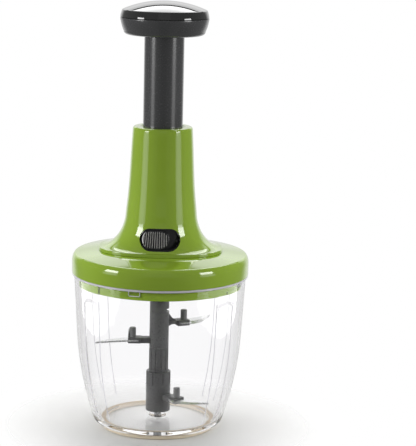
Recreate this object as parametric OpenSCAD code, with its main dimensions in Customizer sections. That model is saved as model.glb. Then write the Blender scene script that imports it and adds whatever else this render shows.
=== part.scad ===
// Hand press chopper: a clear bowl, a twist-on lid with a tower, a press knob that drives
// a twisted bar, a one-way clutch and a stack of three curved blades.
// Millimetres. The axis of the bowl is Z, the table is z = 0 and the front faces -Y.

/* [Bowl] */
// Outside radius of the bowl just under its rim
bowl_r = 62.6; // [58:0.2:70]
// Height of the bowl's rim above the table
bowl_h = 114.4; // [105:0.2:125]
// Wall thickness of the bowl
bowl_wall = 2.4; // [2:0.1:3]
// Angle that the upper side leans in towards the base
side_draft = 3.2; // [2:0.1:4.5]
// Height where the side starts to curve in
sweep_from = 70; // [55:1:85]
// Radius of the curve of the lower side
side_sweep = 240; // [200:5:320]
// Outside radius of the curve from side to base
base_fillet = 6; // [5:0.5:9]
// Height of the flat floor inside the bowl
floor_z = 6.6; // [6:0.1:8]
// How far the rim lip stands out from the wall
lip_out = 1.4; // [0.8:0.1:1.8]
// Height of the rim lip
lip_h = 1.6; // [1.2:0.1:2.4]
// Depth of the side panels
panel_depth = 0.4; // [0.3:0.1:0.8]
// Angle that each side panel spans
panel_span = 17; // [12:1:24]
// Height of the soft foot ring below the bowl
foot_h = 2.4; // [1.8:0.1:3]
// Width of the soft foot ring
foot_w = 3.4; // [2.5:0.1:5]
// Radius of the pivot pin
pin_r = 2.5; // [2:0.1:3]

/* [Bayonet] */
// How far each lug stands in from the bowl's wall
lug_depth = 1.4; // [1:0.1:1.8]
// Height of each lug
lug_h = 4.6; // [3.5:0.1:5]
// Angle that each lug spans
lug_span = 8.4; // [6:0.2:10]
// Angle of the first lug, measured from +X
lug_angle = 254; // [245:1:262]
// Angle that the lid turns to unlock
twist_range = 24; // [18:1:30]

/* [Lid] */
// How far the lid's rim stands beyond the bowl's lip
lid_over = 0.3; // [0:0.1:1]
// Height of the lid's rim
rim_h = 14.8; // [13:0.2:15.6]
// Radius of the rounded top edge
edge_r = 3; // [2:0.5:5]
// Height of the tower's seat above the bowl's rim
lid_rise = 16.8; // [16:0.2:20]
// Radius of the flat seat under the tower
seat_r = 46.5; // [46:0.5:50]
// Thickness of the lid's top
lid_top = 2.4; // [2:0.1:2.8]
// How far the skirt hangs into the bowl
skirt_d = 8.4; // [8.2:0.1:10]
// Thickness of the skirt
skirt_w = 3.2; // [2.8:0.1:4]

/* [Tower] */
// Height of the tower above its seat
tower_h = 90.4; // [84:0.2:100]
// Radius of the tower near its top
tower_top_r = 21.6; // [20.6:0.1:24]
// Radius of the tower where the flare begins
tower_low_r = 26; // [25:0.1:28]
// Height of the flare above the flange
flare_h = 21; // [19:0.5:24]
// Half width of the oval flange, left to right
flange_a = 45; // [43:0.5:46]
// Half depth of the oval flange, front to back
flange_b = 32.6; // [31:0.2:36]
// Thickness of the flange's edge
flange_t = 2.6; // [2:0.1:3.2]
// Wall thickness of the tower
tower_wall = 2.4; // [2:0.1:2.8]
// Length of the guide for the plunger
guide_len = 28.3; // [24:0.5:32]

/* [Plunger] */
// Outside radius of the plunger tube
tube_r = 14.3; // [13.8:0.1:14.8]
// Wall thickness of the plunger tube
tube_wall = 2.1; // [1.8:0.1:2.4]
// Gap between the tower's top and the knob when the knob is up
knob_gap = 65.4; // [58:0.1:66]
// Widest radius of the knob
knob_r = 31.8; // [28:0.1:38]
// Radius of the knob at its lower edge
knob_low_r = 29.2; // [26:0.1:32]
// Height of the knob's lower half
knob_base_h = 12.4; // [12:0.1:15]
// Height of the knob's cap
knob_cap_h = 12; // [10:0.1:14]
// Bluntness of the cap's dome, where 2 is a plain ellipse
cap_blunt = 2.9; // [2.4:0.1:3.6]

/* [Drive] */
// Width of the twisted bar
bar_w = 9; // [8:0.1:10]
// Thickness of the twisted bar
bar_t = 3.2; // [2.6:0.1:3.8]
// Travel of the plunger for one turn of the bar
bar_lead = 42; // [38:1:50]
// Clearance around the bar in the drive nut
bar_gap = 0.35; // [0.25:0.05:0.5]
// Radius of the bar's bearing journal
journal_r = 4; // [3.8:0.1:4.4]
// Number of clutch teeth
clutch_teeth = 12; // [8:2:16]
// Mean radius of the return spring
spring_r = 9.6; // [9:0.1:10]
// Wire radius of the return spring
wire_r = 0.75; // [0.6:0.05:0.9]
// Coils of the return spring
spring_coils = 13; // [10:1:14]

/* [Lock] */
// Width of the lock's opening
lock_w = 29.2; // [28.6:0.2:32]
// Height of the lock's opening
lock_h = 15.9; // [15:0.1:18]
// Height of the lock's centre above the tower's seat
lock_up = 12.2; // [11.6:0.1:13]
// Wall thickness of the lock's tray
tray_wall = 0.8; // [0.6:0.1:1]
// Angle that the thumb slider spans
slider_span = 42; // [38:1:44]
// Angle that the thumb slider travels
lock_travel = 14; // [12:1:15]
// Number of ribs on the thumb slider
rib_count = 11; // [7:2:13]

/* [Blades] */
// Radius of the blade stack's column
column_r = 7.1; // [6.8:0.1:7.6]
// Radius of the lower hub
low_hub_r = 9; // [8.4:0.1:9.5]
// Thickness of the blade arms
arm_t = 4.2; // [4:0.1:5]
// Width of the blade arms
arm_w = 7; // [6:0.1:9]
// Reach of the arms from the axis
arm_reach = 22.7; // [22.3:0.1:25]
// Thickness of the blades
blade_t = 1.2; // [0.8:0.1:1.6]
// Reach of the two upper blades
blade_reach = 48; // [44:0.5:50]
// Reach of the lower blade
low_reach = 43; // [38:0.5:44]
// Angle from a blade's arm to its tip
blade_sweep = 15; // [10:1:24]
// How far a blade's leading edge bows out
blade_bow = 9; // [4:0.5:10]
// Radius of the blade pins
peg_r = 2.4; // [2:0.1:2.6]
// How far the blade pins stand above the arms
peg_up = 7.2; // [5:0.1:8]

/* [Hidden] */
$fn = 96;
// General clearance between pieces that move past each other
run_gap = 0.35;
// Clearance of a running fit on a steel shaft
shaft_gap = 0.05;
// Clearance of a pressed fit
press_gap = 0.02;
// Clearance between faces that rest on each other but turn
seat_gap = 0.1;
// Overlap used so that cuts go right through
cut = 1;

// Bowl profile
sweep_cr = bowl_r - (bowl_h - sweep_from) * tan(side_draft) - side_sweep * cos(side_draft);
sweep_cz = sweep_from + side_sweep * sin(side_draft);
function side_r(z, depth) = z >= sweep_from
    ? bowl_r - (bowl_h - z) * tan(side_draft) - depth / cos(side_draft)
    : sweep_cr + sqrt(pow(side_sweep - depth, 2) - pow(sweep_cz - z, 2));
function out_r(z) = side_r(z, 0);
function in_r(z) = side_r(z, bowl_wall);
out_cz = foot_h + base_fillet;
out_t0 = asin((sweep_cz - out_cz) / (side_sweep - base_fillet));
out_cr = sweep_cr + (side_sweep - base_fillet) * cos(out_t0);
in_fillet = base_fillet - 2;
in_cz = floor_z + in_fillet;
in_t0 = asin((sweep_cz - in_cz) / (side_sweep - bowl_wall - in_fillet));
in_cr = sweep_cr + (side_sweep - bowl_wall - in_fillet) * cos(in_t0);
out_z1 = out_cz - base_fillet * sin(out_t0);
in_z1 = in_cz - in_fillet * sin(in_t0);
foot_groove = 1.4;
foot_inset = 0.4;
foot_r = out_cr - foot_inset;
panel_top = bowl_h - 13;
panel_low = floor_z + 4;
boss_r = 6;
boss_z = floor_z + 3.6;
pin_z0 = foot_h + 1.4;
pin_z1 = floor_z + 19;
panel_angles = [39, 141, 219, 321];

// Bayonet
lug_z1 = bowl_h - 1.2;
lug_z0 = lug_z1 - lug_h;
lug_in_r = in_r(lug_z1) - lug_depth;
lug_turns = [0, 90, 180, 270];

// Lid
lid_r = out_r(bowl_h) + lip_out + lid_over;
lid_z0 = bowl_h + seat_gap;
edge_z = lid_z0 + rim_h;
seat_z = bowl_h + lid_rise;
top_under = seat_z - lid_top;
skirt_z0 = bowl_h - skirt_d;
skirt_r = in_r(skirt_z0) - run_gap;
skirt_in = skirt_r - skirt_w;
track_r = lug_in_r - run_gap;
rim_w = 2.4;
shoulder = 3;

// Under plate and clutch
plate_t = 2.4;
plate_z1 = bowl_h - 5.4;
plate_z0 = plate_z1 - plate_t;
plate_boss_r = 3.6;
plate_screw_at = 47;
stub_r = 8;
stub_z0 = bowl_h - 20.4;
cup_z0 = plate_z1 + run_gap;
cup_z1 = cup_z0 + 7.6;
cup_r = 16;
tooth_tip = 11.6;
tooth_root = 13.6;
driver_z0 = cup_z0 + 1.3;
driver_z1 = driver_z0 + 5.4;
driver_sq = 5.4;

// Bearing of the drive screw
bp_flange_t = 2.6;
bp_flange_z0 = top_under - bp_flange_t;
bp_floor_z1 = top_under - 7.8;
bp_floor_z0 = bp_floor_z1 - 2.4;
bp_r = 24;
bush_r = journal_r + 2.5;
bush_z0 = bp_floor_z0 - 0.8;
bush_z1 = bp_floor_z1 + 1;
washer_t = 0.8;
collar_z0 = bush_z1 + washer_t + seat_gap;
collar_z1 = collar_z0 + 2;
clip_z1 = bush_z0 - 0.25;
clip_z0 = clip_z1 - 0.6;
clip_groove_r = journal_r - 0.8;

// Tower and plunger heights
top_z = seat_z + tower_h;
guide_z0 = top_z - guide_len;
guide_bore = tube_r + 0.3;
guide_wall = 2.2;
stop_lip_r = tube_r + 1.9;
stop_lip_h = 3;
tube_z0 = guide_z0 - run_gap - stop_lip_h;
tube_in = tube_r - tube_wall;
knob_z0 = top_z + knob_gap;
tube_z1 = knob_z0 + 10;
tube_roof = 3;
stroke = min(knob_gap - 2.9, tube_z0 - collar_z1 - 2);
nut_h = 8;
nut_z0 = tube_z0 + 0.2;
nut_z1 = nut_z0 + nut_h;
lid_bore = stop_lip_r + 1;
knob_wall = 2.6;
knob_floor = 3;
knob_edge = 2.6;
spigot_h = 3;
spigot_t = 2.2;
spigot_gap = 0.4;
web_t = 2.4;
core_slope = (tower_low_r - tower_top_r) / (tower_h - flange_t - flare_h - 2);

// Spring and the top of the drive screw
bar_z1 = nut_z1 + 4.8;
spring_seat_z0 = bar_z1;
seat_side_gap = 1.35;
spring_z0 = bar_z1 + 3.2;
spring_z1 = tube_z1 - tube_roof;
top_journal_r = bar_t / 2 - 0.1;
roof_boss_r = 4;
roof_boss_len = 10.5;

// Lock
lock_z = seat_z + lock_up;
tongue_half = 4.5;
tongue_h = 4;
tongue_in = tube_in + 0.6;
tray_r0 = tower_low_r - 2;
tray_r1 = tray_r0 + 1.2;
slider_at = 270 - lock_travel / 2;
tongue_plate_r1 = tray_r0 - 0.5;
tongue_plate_r0 = tongue_plate_r1 - 3;
slot_z = lock_z + stroke;

// Fasteners
screw_r = 1.5;
pilot_gap = 0.1;
head_r = 3;
head_h = 2;
housing_screw_xy = [[30, 6], [-30, 6], [30, -6], [-30, -6]];
housing_screw_tip = seat_z + 6.3;

// Blade stack
collar_top = bowl_h - 21;
twin_z1 = bowl_h - 29.8;
twin_z0 = bowl_h - 56.1;
low_z0 = boss_z + 0.5;
low_z1 = floor_z + 33.7;
hex_r = 5;
head_hex_r = 4.3;
head_z1 = bowl_h - 10;
bush_top = pin_z1 + 1.4;
upper_arm_z = bowl_h - 40.8;
middle_arm_z = bowl_h - 53;
lower_arm_z = floor_z + 13.4;
upper_at = 24;
middle_at = 181;
lower_at = 316;
peg_at = 19.4;
peg_sink = 3.6;
slot_gap = 0.05;
arm_root = column_r - 2;
block_len = 9.5;
block_out = 1;
block_root = 1.6;
stem_t = 2.6;
fin_t = 1;
fin_w = 3;
fin_h = 5.8;
notch_in = 3;
notch_up = 0.6;
notch_h = 2.6;
arm_web_t = 3.2;
arm_web_side = 1.8;
arm_web_len = 8;
arm_web_up = 5.5;
arm_web_top = 1.8;
blade_root_gap = 0.2;
blade_side = 0.6;
lead_share = 0.6;
trail_share = 0.68;
trail_bow = 2.5;
grind_from = 0.22;
grind_run = 0.06;
grind_share = 0.34;
grind_depth = 0.9;
hex_gap = 0.06;

// Points on a quarter curve, from start angle t0 to 90 degrees, going down and in
function low_arc(cr, cz, r, t0, n) =
    [for (i = [0:n]) let(t = t0 + (90 - t0) * i / n) [cr + r * cos(t), cz - r * sin(t)]];

// A ring with a square section
module ring(r0, r1, z0, z1) {
    translate([0, 0, z0])
    difference() {
        cylinder(r = r1, h = z1 - z0);
        translate([0, 0, -cut]) cylinder(r = r0, h = z1 - z0 + 2 * cut);
    }
}

// A solid disc between two heights
module disc(r, z0, z1) {
    translate([0, 0, z0]) cylinder(r = r, h = z1 - z0);
}

// A band of a ring, centred on an angle
module band(r0, r1, z0, z1, at, span) {
    rotate([0, 0, at - span / 2])
    rotate_extrude(angle = span)
    translate([r0, z0])
    square([r1 - r0, z1 - z0]);
}

// Slot shape that stands in the XZ plane and runs along Y
module upright_slot(w, h, y0, y1) {
    translate([0, y1, 0]) rotate([90, 0, 0])
    linear_extrude(height = y1 - y0)
    union() {
        square([w - h, h], center = true);
        translate([(w - h) / 2, 0]) circle(r = h / 2);
        translate([(h - w) / 2, 0]) circle(r = h / 2);
    }
}

// Screw with a round head, tip up
module screw_up(head_z, tip_z, r, hr, hh) {
    disc(hr, head_z - hh, head_z);
    disc(r, head_z - 0.01, tip_z);
}

// Heights along the bowl's side: one straight stretch, then steps down the curve
function side_levels(z_top, z_low, n) =
    concat([z_top], [for (i = [0:n]) sweep_from + (z_low - sweep_from) * i / n]);

// Bowl and its base
module bowl_profile() {
    side_n = 10;
    inner = side_levels(bowl_h, in_z1, side_n);
    polygon(concat(
        [[in_r(bowl_h), bowl_h], [out_r(bowl_h) + lip_out, bowl_h],
         [out_r(bowl_h) + lip_out, bowl_h - lip_h]],
        [for (z = side_levels(bowl_h - lip_h, out_z1, side_n)) [out_r(z), z]],
        [for (p = low_arc(out_cr, out_cz, base_fillet, out_t0, 7)) if (p[1] < out_z1 - 0.01) p],
        [[0, foot_h], [0, boss_z], [boss_r, boss_z], [boss_r, floor_z]],
        [for (i = [7:-1:1]) low_arc(in_cr, in_cz, in_fillet, in_t0, 7)[i]],
        [for (i = [len(inner) - 1:-1:1]) [in_r(inner[i]), inner[i]]]
    ));
}

// Section of what is taken off the outside for the panels
module panel_band() {
    clear_r = bowl_r + 6;
    top = panel_top + cut;
    polygon(concat(
        [[clear_r, panel_low], [clear_r, top]],
        [for (z = side_levels(top, panel_low, 8)) [out_r(z) - panel_depth, z]]
    ));
}

// Upright outline of one panel with eased top corners, facing +X
module panel_outline() {
    half = bowl_r * sin(panel_span / 2);
    corner = 6;
    n = 4;
    start = bowl_r / 2;
    rise = [for (i = [0:n]) let(t = 90 * i / n)
        [half - corner + corner * cos(t), panel_top - corner + corner * sin(t)]];
    translate([start, 0, 0])
    rotate([90, 0, 90])
    linear_extrude(height = bowl_r - start + 2 * cut)
    polygon(concat(
        [[-half, panel_low - cut], [half, panel_low - cut]],
        rise,
        [for (i = [n:-1:0]) [-rise[i][0], rise[i][1]]]
    ));
}

module bowl() {
    color("LightSteelBlue", 0.4)
    union() {
        difference() {
            rotate_extrude() bowl_profile();
            disc(pin_r + press_gap, pin_z0 - 0.1, boss_z + cut);
            ring(foot_r - foot_w - press_gap, foot_r + press_gap, foot_h - cut, foot_h + foot_groove);
            for (at = panel_angles)
                rotate([0, 0, at])
                intersection() {
                    rotate([0, 0, -panel_span]) rotate_extrude(angle = 2 * panel_span) panel_band();
                    panel_outline();
                }
        }
        for (turn = lug_turns)
            band(lug_in_r, in_r(lug_z0) + bowl_wall / 2, lug_z0, lug_z1, lug_angle + turn, lug_span);
    }
}

module foot_ring() {
    color("Bisque")
    ring(foot_r - foot_w, foot_r, 0, foot_h + foot_groove);
}

module pivot_pin() {
    tip = 0.8;
    color("Silver")
    rotate_extrude()
    polygon([[0, pin_z0], [pin_r, pin_z0], [pin_r, pin_z1 - tip], [pin_r - tip, pin_z1], [0, pin_z1]]);
}

// Lid
module lid_profile() {
    n = 8;
    top_r = lid_r - edge_r;
    slope = atan2(seat_z - edge_z, top_r - seat_r);
    polygon(concat(
        [[skirt_in, skirt_z0], [skirt_r, skirt_z0], [skirt_r, lid_z0], [lid_r, lid_z0]],
        [for (i = [0:n]) let(t = (90 - slope) * i / n)
            [top_r + edge_r * cos(t), edge_z - edge_r + edge_r * sin(t)]],
        [[seat_r, seat_z], [lid_bore, seat_z], [lid_bore, top_under], [seat_r, top_under],
         [top_r, edge_z - lid_top], [lid_r - rim_w, edge_z - edge_r - 1],
         [lid_r - rim_w, lid_z0 + shoulder], [skirt_in, lid_z0 + shoulder]]
    ));
}

module bayonet_tracks() {
    turn_gap = 1;
    track_span = lug_span + twist_range + 2 * turn_gap;
    track_at = lug_angle - twist_range / 2;
    for (turn = lug_turns) {
        band(track_r, skirt_r + cut, lug_z0 - run_gap, lid_z0 - 0.4, track_at + turn, track_span);
        band(track_r, skirt_r + cut, skirt_z0 - cut, lug_z0, lug_angle - twist_range + turn,
             lug_span + 2 * turn_gap);
    }
}

module lid() {
    color("YellowGreen")
    difference() {
        union() {
            rotate_extrude() lid_profile();
            for (turn = lug_turns)
                rotate([0, 0, 45 + turn])
                translate([plate_screw_at, 0, plate_z1])
                cylinder(r = plate_boss_r, h = seat_z - 2 - plate_z1);
        }
        bayonet_tracks();
        for (turn = lug_turns)
            rotate([0, 0, 45 + turn])
            translate([plate_screw_at, 0, plate_z1 - cut])
            cylinder(r = screw_r + pilot_gap, h = 12);
        for (p = housing_screw_xy)
            translate([p[0], p[1], top_under - cut])
            cylinder(r = screw_r + 0.3, h = lid_top + 2 * cut);
    }
}

module under_plate() {
    color("OliveDrab")
    difference() {
        union() {
            disc(skirt_in - 0.2, plate_z0, plate_z1);
            disc(stub_r + 3.2, plate_z0 - 2.2, plate_z1);
        }
        disc(stub_r + run_gap, plate_z0 - 4, plate_z1 + cut);
        for (turn = lug_turns)
            rotate([0, 0, 45 + turn])
            translate([plate_screw_at, 0, plate_z0 - cut])
            cylinder(r = screw_r + 0.3, h = plate_t + 2 * cut);
    }
}

module plate_screws() {
    color("Silver")
    for (turn = lug_turns)
        rotate([0, 0, 45 + turn])
        translate([plate_screw_at, 0, 0])
        screw_up(plate_z0, plate_z1 + 8, screw_r, head_r, head_h);
}

// Tower: a round top that flows into an oval flange
function core_r(z) = tower_top_r + (top_z - 2 - z) * core_slope;
flare_z0 = seat_z + flange_t;
flare_z1 = flare_z0 + flare_h;
function flare(z) = z >= flare_z1 ? 0 : 1 - sqrt(1 - pow(min(1, (flare_z1 - z) / flare_h), 2));
function half_a(z) = core_r(z) + (flange_a - core_r(flare_z0)) * flare(z);
function half_b(z) = core_r(z) + (flange_b - core_r(flare_z0)) * flare(z);
function bluntness(z) = 2 + 0.4 * flare(z);
function section(a, b, n, z, count) = [for (j = [0:count - 1])
    let(t = 360 * j / count, c = cos(t), s = sin(t), k = 2 / n)
    [a * sign(c) * pow(abs(c), k), b * sign(s) * pow(abs(s), k), z]];

// Solid through a stack of closed sections that all have the same count of points
module loft(sections) {
    levels = len(sections);
    count = len(sections[0]);
    points = [for (s = sections) for (p = s) p];
    sides = [for (i = [0:levels - 2]) for (j = [0:count - 1])
        let(k = (j + 1) % count, a = i * count + j, b = i * count + k)
        each [[a, a + count, b], [b, a + count, b + count]]];
    low_cap = [[for (j = [0:count - 1]) j]];
    high_cap = [[for (j = [count - 1:-1:0]) (levels - 1) * count + j]];
    polyhedron(points = points, faces = concat(sides, low_cap, high_cap), convexity = 6);
}

function tower_levels() = concat(
    [seat_z, flare_z0 - 0.5],
    [for (i = [0:11]) flare_z0 + flare_h * (1 - cos(90 * i / 12))],
    [flare_z1, top_z - 2]
);

module tower_outer() {
    count = 56;
    edge = 1.6;
    body = [for (z = tower_levels())
        let(w = max(z, flare_z0)) section(half_a(w), half_b(w), bluntness(w), z, count)];
    crown = [for (i = [1:4]) let(t = 90 * i / 4, r = tower_top_r - edge * (1 - cos(t)))
        section(r, r, 2, top_z - 2 + 2 * sin(t), count)];
    loft(concat(body, crown));
}

module tower_hollow() {
    count = 40;
    low = [for (i = [0:7]) let(z = seat_z - 0.5 + (flare_h + 0.5) * i / 7,
        w = max(flare_z0, z + tower_wall + 0.3))
        section(half_a(w) - tower_wall, half_b(w) - tower_wall, bluntness(w), z, count)];
    loft(low);
    split_z = seat_z + flare_h - 0.01;
    roof_z = top_z - 4;
    difference() {
        translate([0, 0, split_z])
        cylinder(r1 = core_r(split_z) - tower_wall - 0.2, r2 = core_r(roof_z) - tower_wall,
                 h = roof_z - split_z);
        disc(guide_bore + guide_wall, guide_z0, top_z);
    }
}

module housing() {
    key_w = 3.4;
    color("OliveDrab")
    difference() {
        union() {
            difference() {
                tower_outer();
                difference() {
                    tower_hollow();
                    for (p = housing_screw_xy)
                        translate([p[0], p[1], seat_z - cut])
                        cylinder(r = 3.4, h = 8.4 + cut);
                }
                disc(guide_bore, guide_z0 - cut, top_z + cut);
                translate([0, 0, top_z - 1.6]) cylinder(r1 = guide_bore, r2 = guide_bore + 1.7, h = 1.7);
            }
            translate([-key_w / 2, tube_r - 0.8, guide_z0]) cube([key_w, 1.6, guide_len - 3]);
        }
        for (p = housing_screw_xy)
            translate([p[0], p[1], seat_z - cut])
            cylinder(r = screw_r + pilot_gap, h = 7.3 + cut);
        translate([0, 0, lock_z]) upright_slot(lock_w, lock_h, -flange_b - 4, -tray_r0 + 12);
    }
}

module housing_screws() {
    color("Silver")
    for (p = housing_screw_xy)
        translate([p[0], p[1], 0])
        screw_up(bp_flange_z0, housing_screw_tip, screw_r, head_r, head_h);
}

module bearing_plate() {
    tab_x = 36;
    tab_y = 22;
    color("DimGray")
    difference() {
        union() {
            disc(bp_r, bp_floor_z0, top_under);
            translate([-tab_x, -tab_y / 2, bp_flange_z0]) cube([2 * tab_x, tab_y, bp_flange_t]);
        }
        disc(bp_r - 2.6, bp_floor_z1, top_under + cut);
        disc(bush_r + press_gap, bp_floor_z0 - cut, bp_floor_z1 + cut);
        for (p = housing_screw_xy)
            translate([p[0], p[1], bp_flange_z0 - cut])
            cylinder(r = screw_r + 0.3, h = bp_flange_t + 2 * cut);
    }
}

module screw_bearing() {
    color("Ivory")
    difference() {
        union() {
            disc(bush_r, bush_z0, bush_z1);
            disc(bush_r + 2, bp_floor_z1, bush_z1);
        }
        disc(journal_r + shaft_gap, bush_z0 - cut, bush_z1 + cut);
    }
}

module thrust_washer() {
    color("Silver")
    ring(journal_r + 0.1, journal_r + 4, bush_z1, bush_z1 + washer_t);
}

// Lock
module front_limit(extra) {
    low = lock_z - lock_h;
    high = lock_z + lock_h;
    rotate_extrude()
    polygon(concat([[0, low]],
        [for (i = [0:12]) let(z = low + (high - low) * i / 12) [half_b(max(z, flare_z0)) + extra, z]],
        [[0, high]]));
}

module lock_bezel() {
    tw = lock_w - 0.1;
    th = lock_h - 0.1;
    slot_span = 2 * tongue_half + lock_travel + 4;
    color("Black")
    difference() {
        intersection() {
            translate([0, 0, lock_z]) upright_slot(tw, th, -flange_b - 2, -tray_r0 + 8);
            front_limit(-0.1);
        }
        disc(tray_r0, lock_z - lock_h, lock_z + lock_h);
        difference() {
            translate([0, 0, lock_z])
            upright_slot(tw - 2 * tray_wall, th - 2 * tray_wall, -flange_b - 4, -tray_r0 + 12);
            disc(tray_r1, lock_z - lock_h, lock_z + lock_h);
        }
        band(tray_r0 - cut, tray_r1 + cut, lock_z - tongue_h / 2 - 0.4, lock_z + tongue_h / 2 + 0.4,
             270, slot_span);
    }
}

module lock_slider() {
    pad_h = lock_h - 0.1 - 2 * tray_wall - 0.7;
    face_r = tower_low_r + 2;
    pad_w = 2 * face_r * sin(slider_span / 2);
    rib_w = 0.9;
    rib_inset = 1;
    rib_step = (slider_span - 9) / (rib_count - 1);
    function rib_half(turn) = let(past = face_r * sin(abs(turn)) - (pad_w - pad_h) / 2)
        (past > 0 ? sqrt(pow(pad_h / 2, 2) - past * past) : pad_h / 2) - rib_inset;
    color("DimGray")
    union() {
        intersection() {
            difference() {
                front_limit(0.1);
                disc(tray_r1 + 0.4, lock_z - lock_h, lock_z + lock_h);
            }
            rotate([0, 0, slider_at - 270])
            translate([0, 0, lock_z])
            upright_slot(pad_w, pad_h, -flange_b - 4, -tray_r0 + 8);
        }
        intersection() {
            difference() {
                front_limit(0.8);
                front_limit(-0.6);
            }
            union() {
                for (i = [0:rib_count - 1])
                    let(turn = (i - (rib_count - 1) / 2) * rib_step, half = rib_half(turn))
                    rotate([0, 0, slider_at - 270 + turn])
                    translate([-rib_w / 2, -flange_b - 4, lock_z - half])
                    cube([rib_w, flange_b, 2 * half]);
            }
        }
        band(tongue_plate_r0 + 1, tray_r1 + 1, lock_z - tongue_h / 2, lock_z + tongue_h / 2,
             slider_at, 2 * tongue_half);
    }
}

module lock_tongue() {
    color("DarkSlateGray")
    difference() {
        union() {
            band(tongue_plate_r0, tongue_plate_r1, lock_z - 5, lock_z + 5, slider_at, 22);
            band(tongue_in, tongue_plate_r0 + 0.5, lock_z - tongue_h / 2, lock_z + tongue_h / 2,
                 slider_at, 2 * tongue_half);
        }
        band(tongue_plate_r0 + 0.95, tongue_plate_r1 + cut, lock_z - tongue_h / 2 - 0.05,
             lock_z + tongue_h / 2 + 0.05, slider_at, 2 * tongue_half + 0.4);
    }
}

// Plunger
module plunger_tube() {
    ledge = 0.8;
    key_cut = 4.2;
    slot_half = tongue_half + 1.3;
    slot_h0 = slot_z - tongue_h / 2 - 0.4;
    slot_h1 = slot_z + tongue_h / 2 + 0.4;
    color("DimGray")
    difference() {
        rotate_extrude()
        polygon([[tube_in, tube_z0], [stop_lip_r, tube_z0], [stop_lip_r, tube_z0 + stop_lip_h],
            [tube_r, tube_z0 + stop_lip_h], [tube_r, tube_z1], [0, tube_z1],
            [0, spring_z1 - roof_boss_len], [roof_boss_r, spring_z1 - roof_boss_len],
            [roof_boss_r, spring_z1], [tube_in, spring_z1], [tube_in, nut_z1 + 1.8],
            [tube_in - ledge, nut_z1 + 1.8], [tube_in - ledge, nut_z1 + 0.2],
            [tube_in, nut_z1 + 0.2]]);
        translate([-key_cut / 2, tube_r - 1.1, tube_z0 + stop_lip_h]) cube([key_cut, 3, 200]);
        band(tube_in - 0.3, stop_lip_r + cut, tube_z0 - cut, slot_h1, slider_at, 2 * slot_half);
        band(tube_in - 0.3, stop_lip_r + cut, slot_h0, slot_h1, 270, 2 * slot_half + lock_travel);
        disc(screw_r + pilot_gap, spring_z1 - roof_boss_len + 1.5, tube_z1 + cut);
    }
}

module drive_nut() {
    color("Ivory")
    difference() {
        disc(tube_in - press_gap, nut_z0, nut_z1);
        twisted_bar(bar_w + 2 * bar_gap, bar_t + 2 * bar_gap, nut_z0 - cut, nut_z1 + cut);
    }
}

module knob_base() {
    web_z0 = tube_z1;
    rim_z = knob_z0 + knob_base_h;
    socket_r = knob_r - knob_wall;
    sleeve_r = tube_r + 2.4;
    key_w = 3.8;
    key_t = 1.6;
    key_sink = 1;
    color("DimGray")
    difference() {
        union() {
            rotate_extrude()
            polygon(concat(
                [[tube_r + press_gap, knob_z0]],
                [for (i = [0:6]) let(t = 90 * i / 6)
                    [knob_low_r - 4 + 4 * sin(t), knob_z0 + knob_edge * (1 - cos(t))]],
                [for (i = [1:6]) let(s = i / 6)
                    [knob_low_r + (knob_r - knob_low_r) * s * (1.5 - 0.5 * s),
                     knob_z0 + knob_edge + (knob_base_h - knob_edge) * s]],
                [[socket_r, rim_z], [socket_r, rim_z - spigot_h - spigot_gap],
                 [knob_low_r - knob_wall, knob_z0 + knob_floor + 1.4],
                 [knob_low_r - knob_wall - 1.6, knob_z0 + knob_floor], [sleeve_r, knob_z0 + knob_floor],
                 [sleeve_r, web_z0 + web_t], [0, web_z0 + web_t], [0, web_z0],
                 [tube_r + press_gap, web_z0]]
            ));
            translate([-key_w / 2, tube_r - key_sink, knob_z0]) cube([key_w, key_t, web_z0 + cut - knob_z0]);
        }
        disc(screw_r + 0.2, web_z0 - cut, web_z0 + web_t + cut);
    }
}

module knob_cap() {
    seam = 0.15;
    cap_z0 = knob_z0 + knob_base_h + seam;
    dome_h = knob_cap_h - seam;
    skin = 2.2;
    n = 12;
    flat_from = 84;
    spigot_r = knob_r - knob_wall - spigot_gap;
    spigot_in = spigot_r - spigot_t;
    function dome(r, h, i) = let(t = flat_from * i / n, k = 2 / cap_blunt)
        [r * pow(cos(t), k), cap_z0 + h * pow(sin(t) / sin(flat_from), k)];
    color("DimGray")
    rotate_extrude()
    polygon(concat(
        [[spigot_in, cap_z0 - spigot_h], [spigot_r, cap_z0 - spigot_h], [spigot_r, cap_z0]],
        [for (i = [0:n]) dome(knob_r, dome_h, i)],
        [[0, cap_z0 + dome_h], [0, cap_z0 + dome_h - skin]],
        [for (i = [n:-1:0]) dome(spigot_in, dome_h - skin, i)]
    ));
}

module knob_screw() {
    web_top = tube_z1 + web_t;
    color("Silver")
    union() {
        disc(head_r, web_top, web_top + head_h);
        disc(screw_r, spring_z1 - roof_boss_len + 3, web_top + 0.01);
    }
}

// Drive screw, clutch and spring
function bar_section(w, t) = [[w / 2, t / 2], [w / 6, t / 2], [-w / 6, t / 2], [-w / 2, t / 2],
    [-w / 2, -t / 2], [-w / 6, -t / 2], [w / 6, -t / 2], [w / 2, -t / 2]];

// Flat bar with a left-hand twist, so that a nut coming down turns it clockwise seen from above
module twisted_bar(w, t, z0, z1) {
    steps = ceil((z1 - z0) / bar_lead * 44);
    loft([for (i = [0:steps])
        let(z = z0 + (z1 - z0) * i / steps, turn = -360 * z / bar_lead)
        [for (p = bar_section(w, t))
            [p[0] * cos(turn) - p[1] * sin(turn), p[0] * sin(turn) + p[1] * cos(turn), z]]]);
}

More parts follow.
